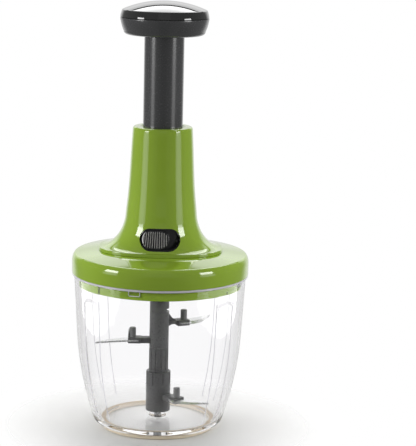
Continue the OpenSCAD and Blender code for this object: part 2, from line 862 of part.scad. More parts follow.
module drive_screw() {
    color("Silver")
    union() {
        difference() {
            union() {
                disc(journal_r, driver_z1 + 0.3, collar_z0 + 0.01);
                disc(journal_r + 3.2, collar_z0, collar_z1);
                translate([-driver_sq / 2, -driver_sq / 2, driver_z0 + 0.2])
                cube([driver_sq, driver_sq, driver_z1 + 0.4 - driver_z0]);
                disc(top_journal_r, bar_z1, bar_z1 + 6);
            }
            ring(clip_groove_r, journal_r + cut, clip_z0 - 0.05, clip_z1 + 0.05);
        }
        twisted_bar(bar_w, bar_t, collar_z1, bar_z1);
    }
}

module spring_seat() {
    color("Ivory")
    difference() {
        union() {
            disc(tube_in - seat_side_gap, spring_seat_z0, spring_z0);
            disc(spring_r - wire_r - 1.4, spring_z0 - cut, spring_z0 + 4.5);
        }
        disc(top_journal_r + press_gap, spring_seat_z0 - cut, spring_z0 + 8);
    }
}

module retaining_clip() {
    color("Silver")
    difference() {
        ring(clip_groove_r + 0.05, journal_r + 2, clip_z0, clip_z1);
        translate([-1.8, 0, clip_z0 - cut]) cube([3.6, 12, 3]);
    }
}

module pawl(r0, r1) {
    n = 12;
    lean = 75;
    thick = 2;
    linear_extrude(height = driver_z1 - driver_z0)
    polygon(concat(
        [for (i = [0:n]) let(u = i / n, t = 1.5 + lean * (1 - u), r = r0 + (r1 - r0) * u)
            [r * cos(t), r * sin(t)]],
        [for (i = [n:-1:0]) let(u = i / n, t = 1.5 + lean * (1 - u), r = r0 - thick + (r1 - r0) * u)
            [r * cos(t), r * sin(t)]]
    ));
}

module pawl_driver() {
    hub_r = 5.8;
    color("Ivory")
    difference() {
        union() {
            disc(hub_r, driver_z0, driver_z1);
            for (half = [0, 180])
                translate([0, 0, driver_z0])
                rotate([0, 0, half])
                pawl(hub_r + 1, tooth_root - 0.7);
        }
        translate([-driver_sq / 2 - 0.05, -driver_sq / 2 - 0.05, driver_z0 - cut])
        cube([driver_sq + 0.1, driver_sq + 0.1, driver_z1 - driver_z0 + 2 * cut]);
    }
}

module ratchet_coupling() {
    pitch = 360 / clutch_teeth;
    color("DarkSlateGray")
    difference() {
        union() {
            disc(cup_r, cup_z0, cup_z1);
            disc(stub_r, stub_z0, cup_z0 + 0.5);
        }
        translate([0, 0, driver_z0 - 0.3])
        linear_extrude(height = cup_z1 - driver_z0 + cut)
        polygon([for (k = [0:clutch_teeth - 1]) for (s = [0, 0.5, 1])
            let(t = pitch * (k + s * 0.995), r = tooth_root - (tooth_root - tooth_tip) * s)
            [r * cos(t), r * sin(t)]]);
        translate([0, 0, stub_z0 - cut])
        cylinder(r = head_hex_r + 0.3, h = head_z1 + 1 - stub_z0 + cut, $fn = 6);
    }
}

// Return spring: one round wire, with a closed coil at each end
function spring_height(u) =
    let(free = spring_z1 - spring_z0 - 2 * wire_r - 0.2, closed = 2 * wire_r + 0.5,
        c = u * spring_coils, open = (free - 2 * closed) / (spring_coils - 2))
    spring_z0 + wire_r + 0.1 + (c < 1 ? closed * c :
        c < spring_coils - 1 ? closed + open * (c - 1) :
        closed + open * (spring_coils - 2) + closed * (c - spring_coils + 1));
echo(least_coil_gap = spring_height(1 / spring_coils) - spring_height(0) - 2 * wire_r);

module return_spring() {
    steps = spring_coils * 10;
    sides = 6;
    color("Silver")
    loft_tube([for (i = [0:steps]) let(u = i / steps, t = 360 * spring_coils * u)
        [spring_r * cos(t), spring_r * sin(t), spring_height(u), t]], wire_r, sides);
}

// Tube along a list of [x, y, z, angle about the axis]
module loft_tube(path, r, sides) {
    loft([for (p = path) [for (j = [sides - 1:-1:0])
        let(t = 360 * j / sides, out = r * cos(t), up = r * sin(t))
        [p[0] + out * cos(p[3]), p[1] + out * sin(p[3]), p[2] + up]]]);
}

// Blade stack
module hex_bar(r, z0, z1) {
    translate([0, 0, z0]) cylinder(r = r, h = z1 - z0, $fn = 6);
}

module blade_spindle() {
    color("DarkSlateGray")
    difference() {
        union() {
            hex_bar(hex_r, bush_top + 0.3, twin_z1 + cut);
            disc(column_r, twin_z1, collar_top);
            hex_bar(head_hex_r, collar_top - cut, head_z1);
        }
        rotate([0, 0, upper_at])
        translate([notch_in, -column_r - cut, twin_z1 + notch_up])
        cube([column_r, 2 * (column_r + cut), notch_h]);
    }
}

// One arm along +X: a stem of the given thickness and the block that clamps the blade
module arm(z0, stem) {
    translate([arm_root, -arm_w / 2, z0 + arm_t - stem])
    cube([arm_reach - block_len + block_root / 2 - arm_root, arm_w, stem]);
    translate([arm_reach - block_len, -arm_w / 2 - block_out, z0])
    cube([block_len, arm_w + 2 * block_out, arm_t]);
}

// Web that braces a slim stem against the column
module arm_web(z0) {
    translate([arm_root, arm_w / 2 - arm_web_side, z0 + arm_t])
    rotate([90, 0, 0])
    linear_extrude(height = arm_web_t)
    polygon([[0, -arm_t], [arm_web_top, -arm_t], [arm_web_len, -stem_t / 2], [arm_web_len, 0],
        [arm_web_top, arm_web_up], [0, arm_web_up]]);
}

// Thin fin that stands at the outer end of an arm
module arm_fin(z0) {
    translate([arm_reach - fin_t, fin_w / 2, z0 + arm_t])
    rotate([90, 0, 0])
    linear_extrude(height = fin_w)
    polygon([[0, -arm_t / 4], [fin_t, -arm_t / 4], [fin_t, 0], [fin_t / 2, fin_h], [0, 0]]);
}

module arm_cuts(z0) {
    mid = z0 + arm_t / 2;
    translate([arm_reach - block_len + block_root, -arm_w, mid - blade_t / 2 - slot_gap])
    cube([2 * block_len, 2 * arm_w, blade_t + 2 * slot_gap]);
    translate([peg_at, 0, z0 + arm_t - peg_sink - 0.1])
    cylinder(r = peg_r + press_gap, h = arm_t + peg_up);
}

module twin_hub() {
    color("DimGray")
    difference() {
        union() {
            disc(column_r, twin_z0, twin_z1);
            rotate([0, 0, upper_at]) arm(upper_arm_z, stem_t);
            rotate([0, 0, upper_at]) arm_web(upper_arm_z);
            rotate([0, 0, middle_at]) arm(middle_arm_z, arm_t);
            rotate([0, 0, middle_at]) arm_fin(middle_arm_z);
        }
        rotate([0, 0, upper_at]) arm_cuts(upper_arm_z);
        rotate([0, 0, middle_at]) arm_cuts(middle_arm_z);
        hex_bar(hex_r + hex_gap, twin_z0 - cut, twin_z1 + cut);
    }
}

module fluted_spacer() {
    flutes = 12;
    color("DimGray")
    difference() {
        disc(column_r, low_z1, twin_z0);
        hex_bar(hex_r + hex_gap, low_z1 - cut, twin_z0 + cut);
        for (i = [0:flutes - 1])
            rotate([0, 0, 360 * (i + 0.5) / flutes])
            translate([column_r + 0.4, 0, low_z1 + 1.2])
            cylinder(r = 0.9, h = twin_z0 - low_z1 - 2.4, $fn = 24);
    }
}

module lower_hub() {
    grooves = 8;
    color("DimGray")
    difference() {
        union() {
            disc(low_hub_r, low_z0, low_z1);
            rotate([0, 0, lower_at]) arm(lower_arm_z, arm_t);
        }
        rotate([0, 0, lower_at]) arm_cuts(lower_arm_z);
        disc(hex_r + press_gap, low_z0 - cut, bush_top);
        hex_bar(hex_r + hex_gap, bush_top - cut, low_z1 + cut);
        for (i = [0:grooves - 1])
            rotate([0, 0, 360 * (i + 0.5) / grooves])
            translate([low_hub_r + 0.5, 0, lower_arm_z + arm_t + 6.5])
            cylinder(r = 1, h = 20, $fn = 24);
    }
}

// Curved blade along +X with a ground leading edge; the tip swings towards +Y
module blade(z0, reach) {
    root = arm_reach - block_len + block_root + blade_root_gap;
    half = arm_w / 2 + blade_side;
    tip = [reach * cos(blade_sweep), reach * sin(blade_sweep)];
    lead = [reach * lead_share, -half - blade_bow];
    trail = [reach * trail_share, half + trail_bow];
    low = z0 + (arm_t - blade_t) / 2;
    top = low + blade_t;
    n = 16;
    tip_share = 0.985;
    function bend(a, b, c, s) = a * pow(1 - s, 2) + b * 2 * s * (1 - s) + c * s * s;
    function ground(s) = min(1, max(0.05, (s - grind_from) / grind_run));
    difference() {
        loft([for (i = [0:n])
            let(s = tip_share * i / n, g = ground(s),
                front = bend([root, -half], lead, tip, s), back = bend([root, half], trail, tip, s),
                ridge = front + (back - front) * grind_share * g)
            [[each front, low], [each back, low], [each back, top], [each ridge, top],
             [each front, top - blade_t * grind_depth * g]]]);
        translate([peg_at, 0, low - cut]) cylinder(r = peg_r + press_gap, h = blade_t + 2 * cut);
    }
}

module upper_blade() {
    color("Gainsboro") rotate([0, 0, upper_at]) blade(upper_arm_z, blade_reach);
}

module middle_blade() {
    color("Gainsboro") rotate([0, 0, middle_at]) blade(middle_arm_z, blade_reach);
}

module lower_blade() {
    color("Gainsboro") rotate([0, 0, lower_at]) blade(lower_arm_z, low_reach);
}

module blade_pins() {
    tip = 0.7;
    color("DimGray")
    for (set = [[upper_at, upper_arm_z], [middle_at, middle_arm_z], [lower_at, lower_arm_z]])
        rotate([0, 0, set[0]])
        translate([peg_at, 0, set[1]])
        rotate_extrude()
        polygon([[0, arm_t - peg_sink], [peg_r, arm_t - peg_sink], [peg_r, arm_t + peg_up - tip],
            [peg_r - tip, arm_t + peg_up], [0, arm_t + peg_up]]);
}

module pivot_bush() {
    color("Ivory")
    difference() {
        disc(hex_r, low_z0, bush_top - 0.1);
        disc(pin_r + shaft_gap, low_z0 - cut, pin_z1 + run_gap);
    }
}

bowl();
foot_ring();
pivot_pin();
lid();
under_plate();
plate_screws();
housing();
housing_screws();
bearing_plate();
screw_bearing();
thrust_washer();
lock_bezel();
lock_slider();
lock_tongue();
plunger_tube();
drive_nut();
knob_base();
knob_cap();
knob_screw();
return_spring();
drive_screw();
spring_seat();
retaining_clip();
pawl_driver();
ratchet_coupling();
blade_spindle();
twin_hub();
fluted_spacer();
lower_hub();
upper_blade();
middle_blade();
lower_blade();
blade_pins();
pivot_bush();
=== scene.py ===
"""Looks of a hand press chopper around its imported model. Metres, axis Z, front -Y."""

from math import asin, atan2, cos, degrees, pi, radians, sin, sqrt, tan

import bmesh
import bpy
from mathutils import Matrix, Vector


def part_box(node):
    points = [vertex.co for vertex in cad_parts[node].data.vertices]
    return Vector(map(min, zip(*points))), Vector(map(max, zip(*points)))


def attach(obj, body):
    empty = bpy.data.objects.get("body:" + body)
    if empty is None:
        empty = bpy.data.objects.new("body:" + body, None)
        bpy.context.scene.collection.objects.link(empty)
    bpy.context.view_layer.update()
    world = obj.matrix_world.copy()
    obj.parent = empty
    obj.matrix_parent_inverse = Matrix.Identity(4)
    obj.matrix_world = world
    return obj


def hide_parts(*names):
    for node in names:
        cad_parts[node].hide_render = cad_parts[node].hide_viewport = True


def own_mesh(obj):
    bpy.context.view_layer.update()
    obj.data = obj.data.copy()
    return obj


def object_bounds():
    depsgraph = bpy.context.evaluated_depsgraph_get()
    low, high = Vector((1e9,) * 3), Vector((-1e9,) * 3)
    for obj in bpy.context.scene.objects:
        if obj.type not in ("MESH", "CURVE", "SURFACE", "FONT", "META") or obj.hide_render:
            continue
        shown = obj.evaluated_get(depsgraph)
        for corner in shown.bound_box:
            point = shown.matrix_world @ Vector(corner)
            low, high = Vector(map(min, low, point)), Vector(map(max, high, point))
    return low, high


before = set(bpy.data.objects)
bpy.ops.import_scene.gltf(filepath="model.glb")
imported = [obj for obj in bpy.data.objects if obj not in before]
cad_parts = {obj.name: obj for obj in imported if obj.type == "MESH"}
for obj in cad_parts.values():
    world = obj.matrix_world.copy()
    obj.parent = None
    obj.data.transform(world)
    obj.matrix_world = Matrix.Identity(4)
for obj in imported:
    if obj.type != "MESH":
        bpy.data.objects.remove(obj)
cad_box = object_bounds()
scene = bpy.context.scene
scene.view_settings.view_transform = "Standard"
MM = 0.001
# Radius below which a ring is a pole, and distance at which points merge
POLE_R = 1e-6
MERGE = 1e-7

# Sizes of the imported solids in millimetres, and angles in degrees where radians() isn't written
FRONT = 270
QUARTERS = (0, 90, 180, 270)
# Bowl
BOWL_R = 62.6
BOWL_H = 114.4
BOWL_WALL = 2.4
SIDE_DRAFT = radians(3.2)
SWEEP_FROM = 70.0
SIDE_SWEEP = 240.0
BASE_FILLET = 6.0
INNER_FILLET = 4.0
FLOOR_Z = 6.6
LIP_OUT = 1.4
LIP_H = 1.6
FOOT_H = 2.4
FOOT_W = 3.4
FOOT_GROOVE = 1.4
FOOT_INSET = 0.4
PANEL_DEPTH = 0.4
PANEL_SPAN = 17.0
PANEL_ANGLES = (39, 141, 219, 321)
PANEL_TOP = BOWL_H - 13
PANEL_LOW = FLOOR_Z + 4
LUG_ANGLE = 254.0
LUG_SPAN = 8.4
LUG_DEPTH = 1.4
LUG_Z = (BOWL_H - 5.8, BOWL_H - 1.2)
TWIST = 24.0
RUN_GAP = 0.35
# Lid, tower and knob
SEAT_Z = 131.2
TOWER_TOP = 221.6
LOCK_Z = SEAT_Z + 12.2
LOCK_W = 29.2
LOCK_H = 15.9
KNOB_Z = 287.0
KNOB_R = 31.8
KNOB_BASE_H = 12.4
KNOB_RIM_Z = KNOB_Z + KNOB_BASE_H
# Blade stack
COLUMN_R = 7.1
LOW_HUB_R = 9.0
HUB_Z = {"lower": (10.7, 40.3), "spacer": (40.3, 58.3), "twin": (58.3, 84.6)}
ARM_ROOT = COLUMN_R - 2
ARM_T = 4.2
ARM_W = 7.0
ARM_REACH = 22.7
BLOCK_LEN = 9.5
BLOCK_OUT = 1.0
BLOCK_ROOT = 1.6
STEM_T = 2.6
PEG_AT = 19.4
PEG_R = 2.4
PEG_UP = 7.2
PEG_SINK = 3.6
BLADE_T = 1.2
BLADE_SWEEP = radians(15)
# Angle, height of the arm's underside and reach of the blade
ARMS = {"upper": (24, 73.6, 48.0), "middle": (181, 61.4, 48.0), "lower": (316, 20.0, 43.0)}


# Camera: fitted to the photograph
def make_camera():
    image_h = 446
    pixel = 0.726 * MM
    distance = 1.3
    elevation = radians(10.56)
    roll = radians(1.33)
    target = Vector((0, 0, 0.1507))
    side_offset = 46.87 * pixel
    forward = Vector((0, cos(elevation), -sin(elevation)))
    right = Vector((1, 0, 0))
    up = right.cross(forward)
    rolled_right = right * cos(roll) + up * sin(roll)
    rolled_up = up * cos(roll) - right * sin(roll)
    data = bpy.data.cameras.new("camera")
    data.sensor_width = 36
    data.lens = data.sensor_width * distance / pixel / image_h
    data.clip_end = 20
    camera = bpy.data.objects.new("camera", data)
    scene.collection.objects.link(camera)
    place = target + rolled_right * side_offset - forward * distance
    axes = Matrix((rolled_right, rolled_up, -forward)).transposed().to_4x4()
    camera.matrix_world = Matrix.Translation(place) @ axes
    scene.camera = camera


# Materials
def add(tree, kind, **values):
    node = tree.nodes.new(kind)
    for key, value in values.items():
        if key in node.inputs:
            node.inputs[key].default_value = value
        else:
            setattr(node, key, value)
    return node


def noise(tree, scale, detail=3.0, rough=0.5, stretch=(1, 1, 1)):
    coords = add(tree, "ShaderNodeTexCoord")
    mapping = add(tree, "ShaderNodeMapping", Scale=stretch)
    tree.links.new(coords.outputs["Object"], mapping.inputs["Vector"])
    texture = add(tree, "ShaderNodeTexNoise", Scale=scale, Detail=detail, Roughness=rough)
    tree.links.new(mapping.outputs["Vector"], texture.inputs["Vector"])
    return texture.outputs["Fac"]


def set_values(node, values):
    for key, value in values.items():
        node.inputs[key].default_value = value


def remap(tree, value, start, end, low=0.0, high=1.0, easing="LINEAR"):
    """Maps start..end to low..high."""
    node = add(tree, "ShaderNodeMapRange", interpolation_type=easing)
    set_values(node, {"From Min": start, "From Max": end, "To Min": low, "To Max": high})
    tree.links.new(value, node.inputs["Value"])
    return node.outputs["Result"]


def spread(tree, value, low, high):
    """Maps the middle of a noise value to low..high."""
    noise_low, noise_high = 0.3, 0.7
    return remap(tree, value, noise_low, noise_high, low, high)


def colour_mix(tree, share):
    """The two colour inputs and the output of a node that mixes colours by a share."""
    node = add(tree, "ShaderNodeMix", data_type="RGBA")
    tree.links.new(share, node.inputs["Factor"])
    colours = [socket for socket in node.inputs if socket.type == "RGBA"]
    return colours, [socket for socket in node.outputs if socket.type == "RGBA"][0]


def two_tone(tree, share, one, two):
    colours, mixed = colour_mix(tree, share)
    colours[0].default_value = (*one, 1)
    colours[1].default_value = (*two, 1)
    return mixed


def shader_mix(tree, share, one, two):
    """Goes from one shader to the other as the share goes from 0 to 1."""
    node = add(tree, "ShaderNodeMixShader")
    for source, socket in zip((share, one, two), node.inputs):
        tree.links.new(source, socket)
    return node.outputs[0]


def bump(tree, height, strength, distance):
    node = add(tree, "ShaderNodeBump", Strength=strength, Distance=distance)
    tree.links.new(height, node.inputs["Height"])
    return node.outputs["Normal"]


def new_material(name):
    """Material with its node tree and its shader."""
    material = bpy.data.materials.new(name)
    material.use_nodes = True
    tree = material.node_tree
    return material, tree, tree.nodes["Principled BSDF"]


def show(tree, shader):
    tree.links.new(shader, tree.nodes["Material Output"].inputs["Surface"])


def surface(name, one, two, rough, grain, metal=0.0, grain_scale=900.0, stretch=(1, 1, 1), coat=0.0,
            coat_rough=0.04):
    """Moulded or ground surface: slow colour drift, uneven gloss and a fine grain."""
    tone_scale, grain_depth = 35.0, 0.2 * MM
    material, tree, shader = new_material(name)
    drift = noise(tree, tone_scale)
    tree.links.new(two_tone(tree, spread(tree, drift, 0, 1), one, two), shader.inputs["Base Color"])
    fine = noise(tree, grain_scale, detail=4.0, rough=0.6, stretch=stretch)
    tree.links.new(spread(tree, fine, *rough), shader.inputs["Roughness"])
    tree.links.new(bump(tree, fine, grain, grain_depth), shader.inputs["Normal"])
    set_values(shader, {"Metallic": metal, "Coat Weight": coat, "Coat Roughness": coat_rough})
    return material


def clear_plastic(name):
    """Clear moulded wall with faint wipe marks; lamps shine through it."""
    material, tree, shader = new_material(name)
    set_values(shader, {"Base Color": (0.995, 0.993, 0.998, 1), "Transmission Weight": 1.0, "IOR": 1.18,
                        "Coat Weight": 0.12, "Coat Roughness": 0.03})
    marks = noise(tree, scale=60.0, detail=5.0, rough=0.6, stretch=(1, 1, 0.3))
    tree.links.new(spread(tree, marks, 0.005, 0.02), shader.inputs["Roughness"])
    through = add(tree, "ShaderNodeBsdfTransparent")
    path = add(tree, "ShaderNodeLightPath")
    show(tree, shader_mix(tree, path.outputs["Is Shadow Ray"], shader.outputs[0], through.outputs[0]))
    return material


GREEN = surface("green_gloss", (0.268, 0.412, 0.03), (0.284, 0.432, 0.034), (0.05, 0.09), 0.01, coat=1.0,
                coat_rough=0.06)
GREEN_SOFT = surface("green_plain", (0.25, 0.385, 0.035), (0.27, 0.41, 0.04), (0.25, 0.4), 0.04)
DARK = surface("dark_satin", (0.045, 0.0455, 0.047), (0.052, 0.0525, 0.054), (0.2, 0.3), 0.05, coat=0.75,
               coat_rough=0.08)
CAP = surface("cap_gloss", (0.016, 0.0165, 0.016), (0.02, 0.0205, 0.02), (0.04, 0.07), 0.01, coat=1.0,
              coat_rough=0.02)
BLACK = surface("black_gloss", (0.006, 0.006, 0.007), (0.009, 0.009, 0.01), (0.12, 0.2), 0.02, coat=0.5)
# Light grey for the lock's ribs against the black pad: painted highlight of their lit tops
RIBBED = surface("rib_grey_painted_highlight", (0.28, 0.274, 0.268), (0.33, 0.323, 0.316), (0.4, 0.55), 0.08)
HOLDER = surface("holder_satin", (0.108, 0.1085, 0.11), (0.125, 0.1255, 0.127), (0.24, 0.36), 0.05)
PEG = surface("peg_satin", (0.19, 0.191, 0.195), (0.21, 0.211, 0.215), (0.24, 0.36), 0.05)
PALE = surface("pale_nylon", (0.72, 0.7, 0.63), (0.78, 0.76, 0.7), (0.4, 0.55), 0.08)
STEEL = surface("bright_steel", (0.5, 0.51, 0.52), (0.58, 0.59, 0.6), (0.16, 0.3), 0.05, metal=1.0)
BLADE = surface("ground_steel", (0.84, 0.84, 0.85), (0.9, 0.9, 0.91), (0.2, 0.34), 0.08, metal=0.75,
                grain_scale=400.0, stretch=(1, 9, 1))
FOOT = surface("soft_ring", (0.62, 0.53, 0.4), (0.68, 0.59, 0.46), (0.35, 0.5), 0.05)
# Opaque pale lilac for the bowl's lip and panel edges: painted refraction lines of the clear wall
PAINTED_REFRACTION = surface("painted_refraction_edge", (0.66, 0.64, 0.7), (0.74, 0.72, 0.78), (0.2, 0.3), 0.02)
# Near white for the lugs' rounded edges: painted glints on clear plastic
PAINTED_GLINT = surface("lug_edge_painted_glint", (0.9, 0.9, 0.91), (0.96, 0.96, 0.97), (0.12, 0.2), 0.02)
CLEAR = clear_plastic("clear_plastic")


# Mesh helpers
def bridge(bm, low, high):
    """Faces between two closed rings; a ring of one vertex is a pole."""
    count = max(len(low), len(high))
    for i in range(count):
        j = (i + 1) % count
        if len(low) == 1:
            bm.faces.new((low[0], high[i], high[j]))
        elif len(high) == 1:
            bm.faces.new((low[i], low[j], high[0]))
        else:
            bm.faces.new((low[i], low[j], high[j], high[i]))


def loft(sections, closed=False, capped=False):
    """Surface through rings of points in millimetres; a ring of one point is a pole."""
    bm = bmesh.new()
    rings = [[bm.verts.new(Vector(point) * MM) for point in ring] for ring in sections]
    for low, high in zip(rings, rings[1:] + (rings[:1] if closed else [])):
        if len(low) > 1 or len(high) > 1:
            bridge(bm, low, high)
    if capped:
        bm.faces.new(list(reversed(rings[0])))
        bm.faces.new(rings[-1])
    return bm


def circle(r, z, steps):
    if r < POLE_R:
        return [(0, 0, z)]
    return [(r * cos(2 * pi * i / steps), r * sin(2 * pi * i / steps), z) for i in range(steps)]


def revolve(profile, steps=192):
    """Closed profile of (radius, height) turned about the axis."""
    return loft([circle(r, z, steps) for r, z in profile], closed=True)


def arc(cr, cz, r, start, end, count):
    """Points on a circle in the profile plane, angles in degrees from straight out."""
    angles = [radians(start + (end - start) * i / count) for i in range(count + 1)]
    return [(cr + r * cos(t), cz + r * sin(t)) for t in angles]


def rounded_box(low, high, radius, segments=3):
    bm = bmesh.new()
    bmesh.ops.create_cube(bm, size=1.0)
    low, high = Vector(low) * MM, Vector(high) * MM
    size = high - low
    for vert in bm.verts:
        vert.co = (low + high) / 2 + Vector([a * b for a, b in zip(vert.co, size)])
    if radius:
        bmesh.ops.bevel(bm, geom=bm.edges[:], offset=radius * MM, segments=segments, profile=0.5,
                        affect="EDGES")
    return bm


def prism(outline, y0, y1):
    """Outline of (x, z) points carried along Y."""
    return loft([[(x, y, z) for x, z in outline] for y in (y0, y1)], capped=True)


def band(r0, r1, z0, z1, at, span, steps=24):
    """Closed block of a ring, centred on an angle."""
    sections = []
    for i in range(steps + 1):
        t = radians(at - span / 2 + span * i / steps)
        corners = ((r0, z0), (r1, z0), (r1, z1), (r0, z1))
        sections.append([(r * cos(t), r * sin(t), z) for r, z in corners])
    return loft(sections, capped=True)


def join(parts):
    """One bmesh that holds several."""
    whole = bmesh.new()
    for part in parts:
        holder = bpy.data.meshes.new("part")
        bmesh.ops.recalc_face_normals(part, faces=part.faces)
        part.to_mesh(holder)
        part.free()
        whole.from_mesh(holder)
        bpy.data.meshes.remove(holder)
    return whole


def turned(bm, angle):
    bmesh.ops.rotate(bm, verts=bm.verts, cent=(0, 0, 0), matrix=Matrix.Rotation(radians(angle), 3, "Z"))
    return bm


def moved(bm, x):
    bmesh.ops.translate(bm, verts=bm.verts, vec=(x * MM, 0, 0))
    return bm


def temporary(bm):
    mesh = bpy.data.meshes.new("temporary")
    bmesh.ops.recalc_face_normals(bm, faces=bm.faces)
    bm.to_mesh(mesh)
    bm.free()
    item = bpy.data.objects.new("temporary", mesh)
    scene.collection.objects.link(item)
    return item


def carve(bm, cutters):
    """Cuts closed bmeshes out of a closed bmesh."""
    base = temporary(bm)
    tools = [temporary(cutter) for cutter in cutters]
    for tool in tools:
        step = base.modifiers.new("cut", "BOOLEAN")
        step.operation = "DIFFERENCE"
        step.solver = "EXACT"
        step.object = tool
    finished = base.evaluated_get(bpy.context.evaluated_depsgraph_get())
    result = bmesh.new()
    result.from_mesh(finished.to_mesh())
    finished.to_mesh_clear()
    for item in [base] + tools:
        mesh = item.data
        bpy.data.objects.remove(item)
        bpy.data.meshes.remove(mesh)
    return result


def piece(name, bm, body, material, nodes=(), sharp=32):
    """Finished piece: smooth faces with sharp edges kept, riding on its body."""
    bmesh.ops.remove_doubles(bm, verts=bm.verts, dist=MERGE)
    bmesh.ops.recalc_face_normals(bm, faces=bm.faces)
    limit = radians(sharp)
    for face in bm.faces:
        face.smooth = True
    for edge in bm.edges:
        edge.smooth = len(edge.link_faces) != 2 or edge.calc_face_angle(0) < limit
    mesh = bpy.data.meshes.new(name)
    bm.to_mesh(mesh)
    bm.free()
    item = bpy.data.objects.new(name, mesh)
    scene.collection.objects.link(item)
    mesh.materials.append(material)
    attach(item, body)
    if nodes:
        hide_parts(*nodes)
    return item


# Bowl: a straight drafted side that curves in below
SWEEP_CR = BOWL_R - (BOWL_H - SWEEP_FROM) * tan(SIDE_DRAFT) - SIDE_SWEEP * cos(SIDE_DRAFT)
SWEEP_CZ = SWEEP_FROM + SIDE_SWEEP * sin(SIDE_DRAFT)


def side_r(z, depth):
    """Radius of the bowl's side at a height, at a depth below its outside."""
    if z >= SWEEP_FROM:
        return BOWL_R - (BOWL_H - z) * tan(SIDE_DRAFT) - depth / cos(SIDE_DRAFT)
    return SWEEP_CR + sqrt((SIDE_SWEEP - depth) ** 2 - (SWEEP_CZ - z) ** 2)


def base_curve(fillet, low_z, depth, count):
    """Points of the curve from the side to the base."""
    centre_z = low_z + fillet
    start = asin((SWEEP_CZ - centre_z) / (SIDE_SWEEP - depth - fillet))
    centre_r = SWEEP_CR + (SIDE_SWEEP - depth - fillet) * cos(start)
    return arc(centre_r, centre_z, fillet, -degrees(start), -90, count)


def panel_share(angle, z):
    """1 inside a side panel and 0 outside, with a soft step at its edge."""
    corner, step = 6.0, 1.6
    best = 0.0
    for centre in PANEL_ANGLES:
        off = abs((angle - centre + 180) % 360 - 180)
        across = side_r(z, 0) * (radians(off) - sin(radians(PANEL_SPAN / 2)))
        upright = abs(z - (PANEL_TOP + PANEL_LOW) / 2) - (PANEL_TOP - PANEL_LOW) / 2
        dx, dz = across + corner, upright + corner
        outside = min(max(dx, dz), 0) + sqrt(max(dx, 0) ** 2 + max(dz, 0) ** 2) - corner
        share = min(max(-outside / step, 0), 1)
        best = max(best, share * share * (3 - 2 * share))
    return best


def bowl_side_ring(r, z, steps):
    """Ring of the outside with the panels pressed in."""
    ring = []
    for i in range(steps):
        angle = 360 * i / steps
        pulled = r - PANEL_DEPTH * panel_share(angle, z)
        ring.append((pulled * cos(radians(angle)), pulled * sin(radians(angle)), z))
    return ring


# Radius of the lugs' inner faces
LUG_IN_R = side_r(LUG_Z[1], BOWL_WALL) - LUG_DEPTH


def bowl_shell():
    steps, side_count, inner_count, base_count = 480, 96, 48, 12
    boss_r, boss_z, bore_r, bore_z = 6.0, FLOOR_Z + 3.6, 2.52, FOOT_H + 1.3
    soft, slack, rim_ease_w, rim_ease_h = 0.6, 0.02, 0.4, 0.5
    outer_base = base_curve(BASE_FILLET, FOOT_H, 0, base_count)
    inner_base = base_curve(INNER_FILLET, FLOOR_Z, BOWL_WALL, base_count)
    foot_out = outer_base[-1][0] - FOOT_INSET + slack
    foot_in = foot_out - FOOT_W - 2 * slack
    groove_z = FOOT_H + FOOT_GROOVE
    lip_low, side_low, inner_low = BOWL_H - LIP_H, outer_base[0][1], inner_base[0][1]

    rim = [(side_r(BOWL_H, BOWL_WALL) + rim_ease_w, BOWL_H), (BOWL_R, BOWL_H)]
    sections = [circle(r, z, steps) for r, z in rim]
    for i in range(side_count + 1):
        z = lip_low - (lip_low - side_low) * i / side_count
        sections.append(bowl_side_ring(side_r(z, 0), z, steps))
    rest = outer_base[1:]
    rest += [(foot_out, FOOT_H), (foot_out, groove_z), (foot_in, groove_z), (foot_in, FOOT_H), (0, FOOT_H)]
    rest += [(0, bore_z), (bore_r, bore_z), (bore_r, boss_z)]
    rest += arc(boss_r - soft, boss_z - soft, soft, 90, 0, 4)
    rest += arc(boss_r + 2 * soft, FLOOR_Z + 2 * soft, 2 * soft, 180, 270, 5)
    rest += inner_base[::-1]
    for i in range(1, inner_count + 1):
        z = inner_low + (BOWL_H - rim_ease_h - inner_low) * i / inner_count
        rest.append((side_r(z, BOWL_WALL), z))
    sections += [circle(r, z, steps) for r, z in rest]
    piece("bowl_shell", loft(sections, closed=True), "bowl", CLEAR, ["bowl"])


def bowl_lip():
    """Lip that the lid's rim stands on, coloured pale lilac as a painted refraction line."""
    lip_r, soft = BOWL_R + LIP_OUT, 0.6
    profile = arc(lip_r - soft, BOWL_H - soft, soft, 90, 0, 4)
    profile += arc(lip_r - soft, BOWL_H - LIP_H + soft, soft, 0, -90, 4)
    profile += [(BOWL_R, BOWL_H - LIP_H), (BOWL_R, BOWL_H)]
    piece("bowl_lip", revolve(profile, steps=256), "bowl", PAINTED_REFRACTION)


def bowl_painted_lines():
    """Thin pale lilac strips on the upright edges of the pressed-in side panels: painted refraction lines."""
    count, width, thick, sink = 60, 0.5, 0.05, PANEL_DEPTH / 4
    lines = []
    for centre in PANEL_ANGLES:
        for side in (-1, 1):
            at = radians(centre) + side * sin(radians(PANEL_SPAN / 2))
            sections = []
            for i in range(count + 1):
                z = PANEL_LOW + (PANEL_TOP - PANEL_LOW) * i / count
                r = side_r(z, 0)
                half = width / 2 / r
                corners = ((-half, r - sink), (half, r - sink), (half, r + thick), (-half, r + thick))
                sections.append([(out * cos(at + turn), out * sin(at + turn), z) for turn, out in corners])
            lines.append(loft(sections, capped=True))
    piece("bowl_painted_lines", join(lines), "bowl", PAINTED_REFRACTION)


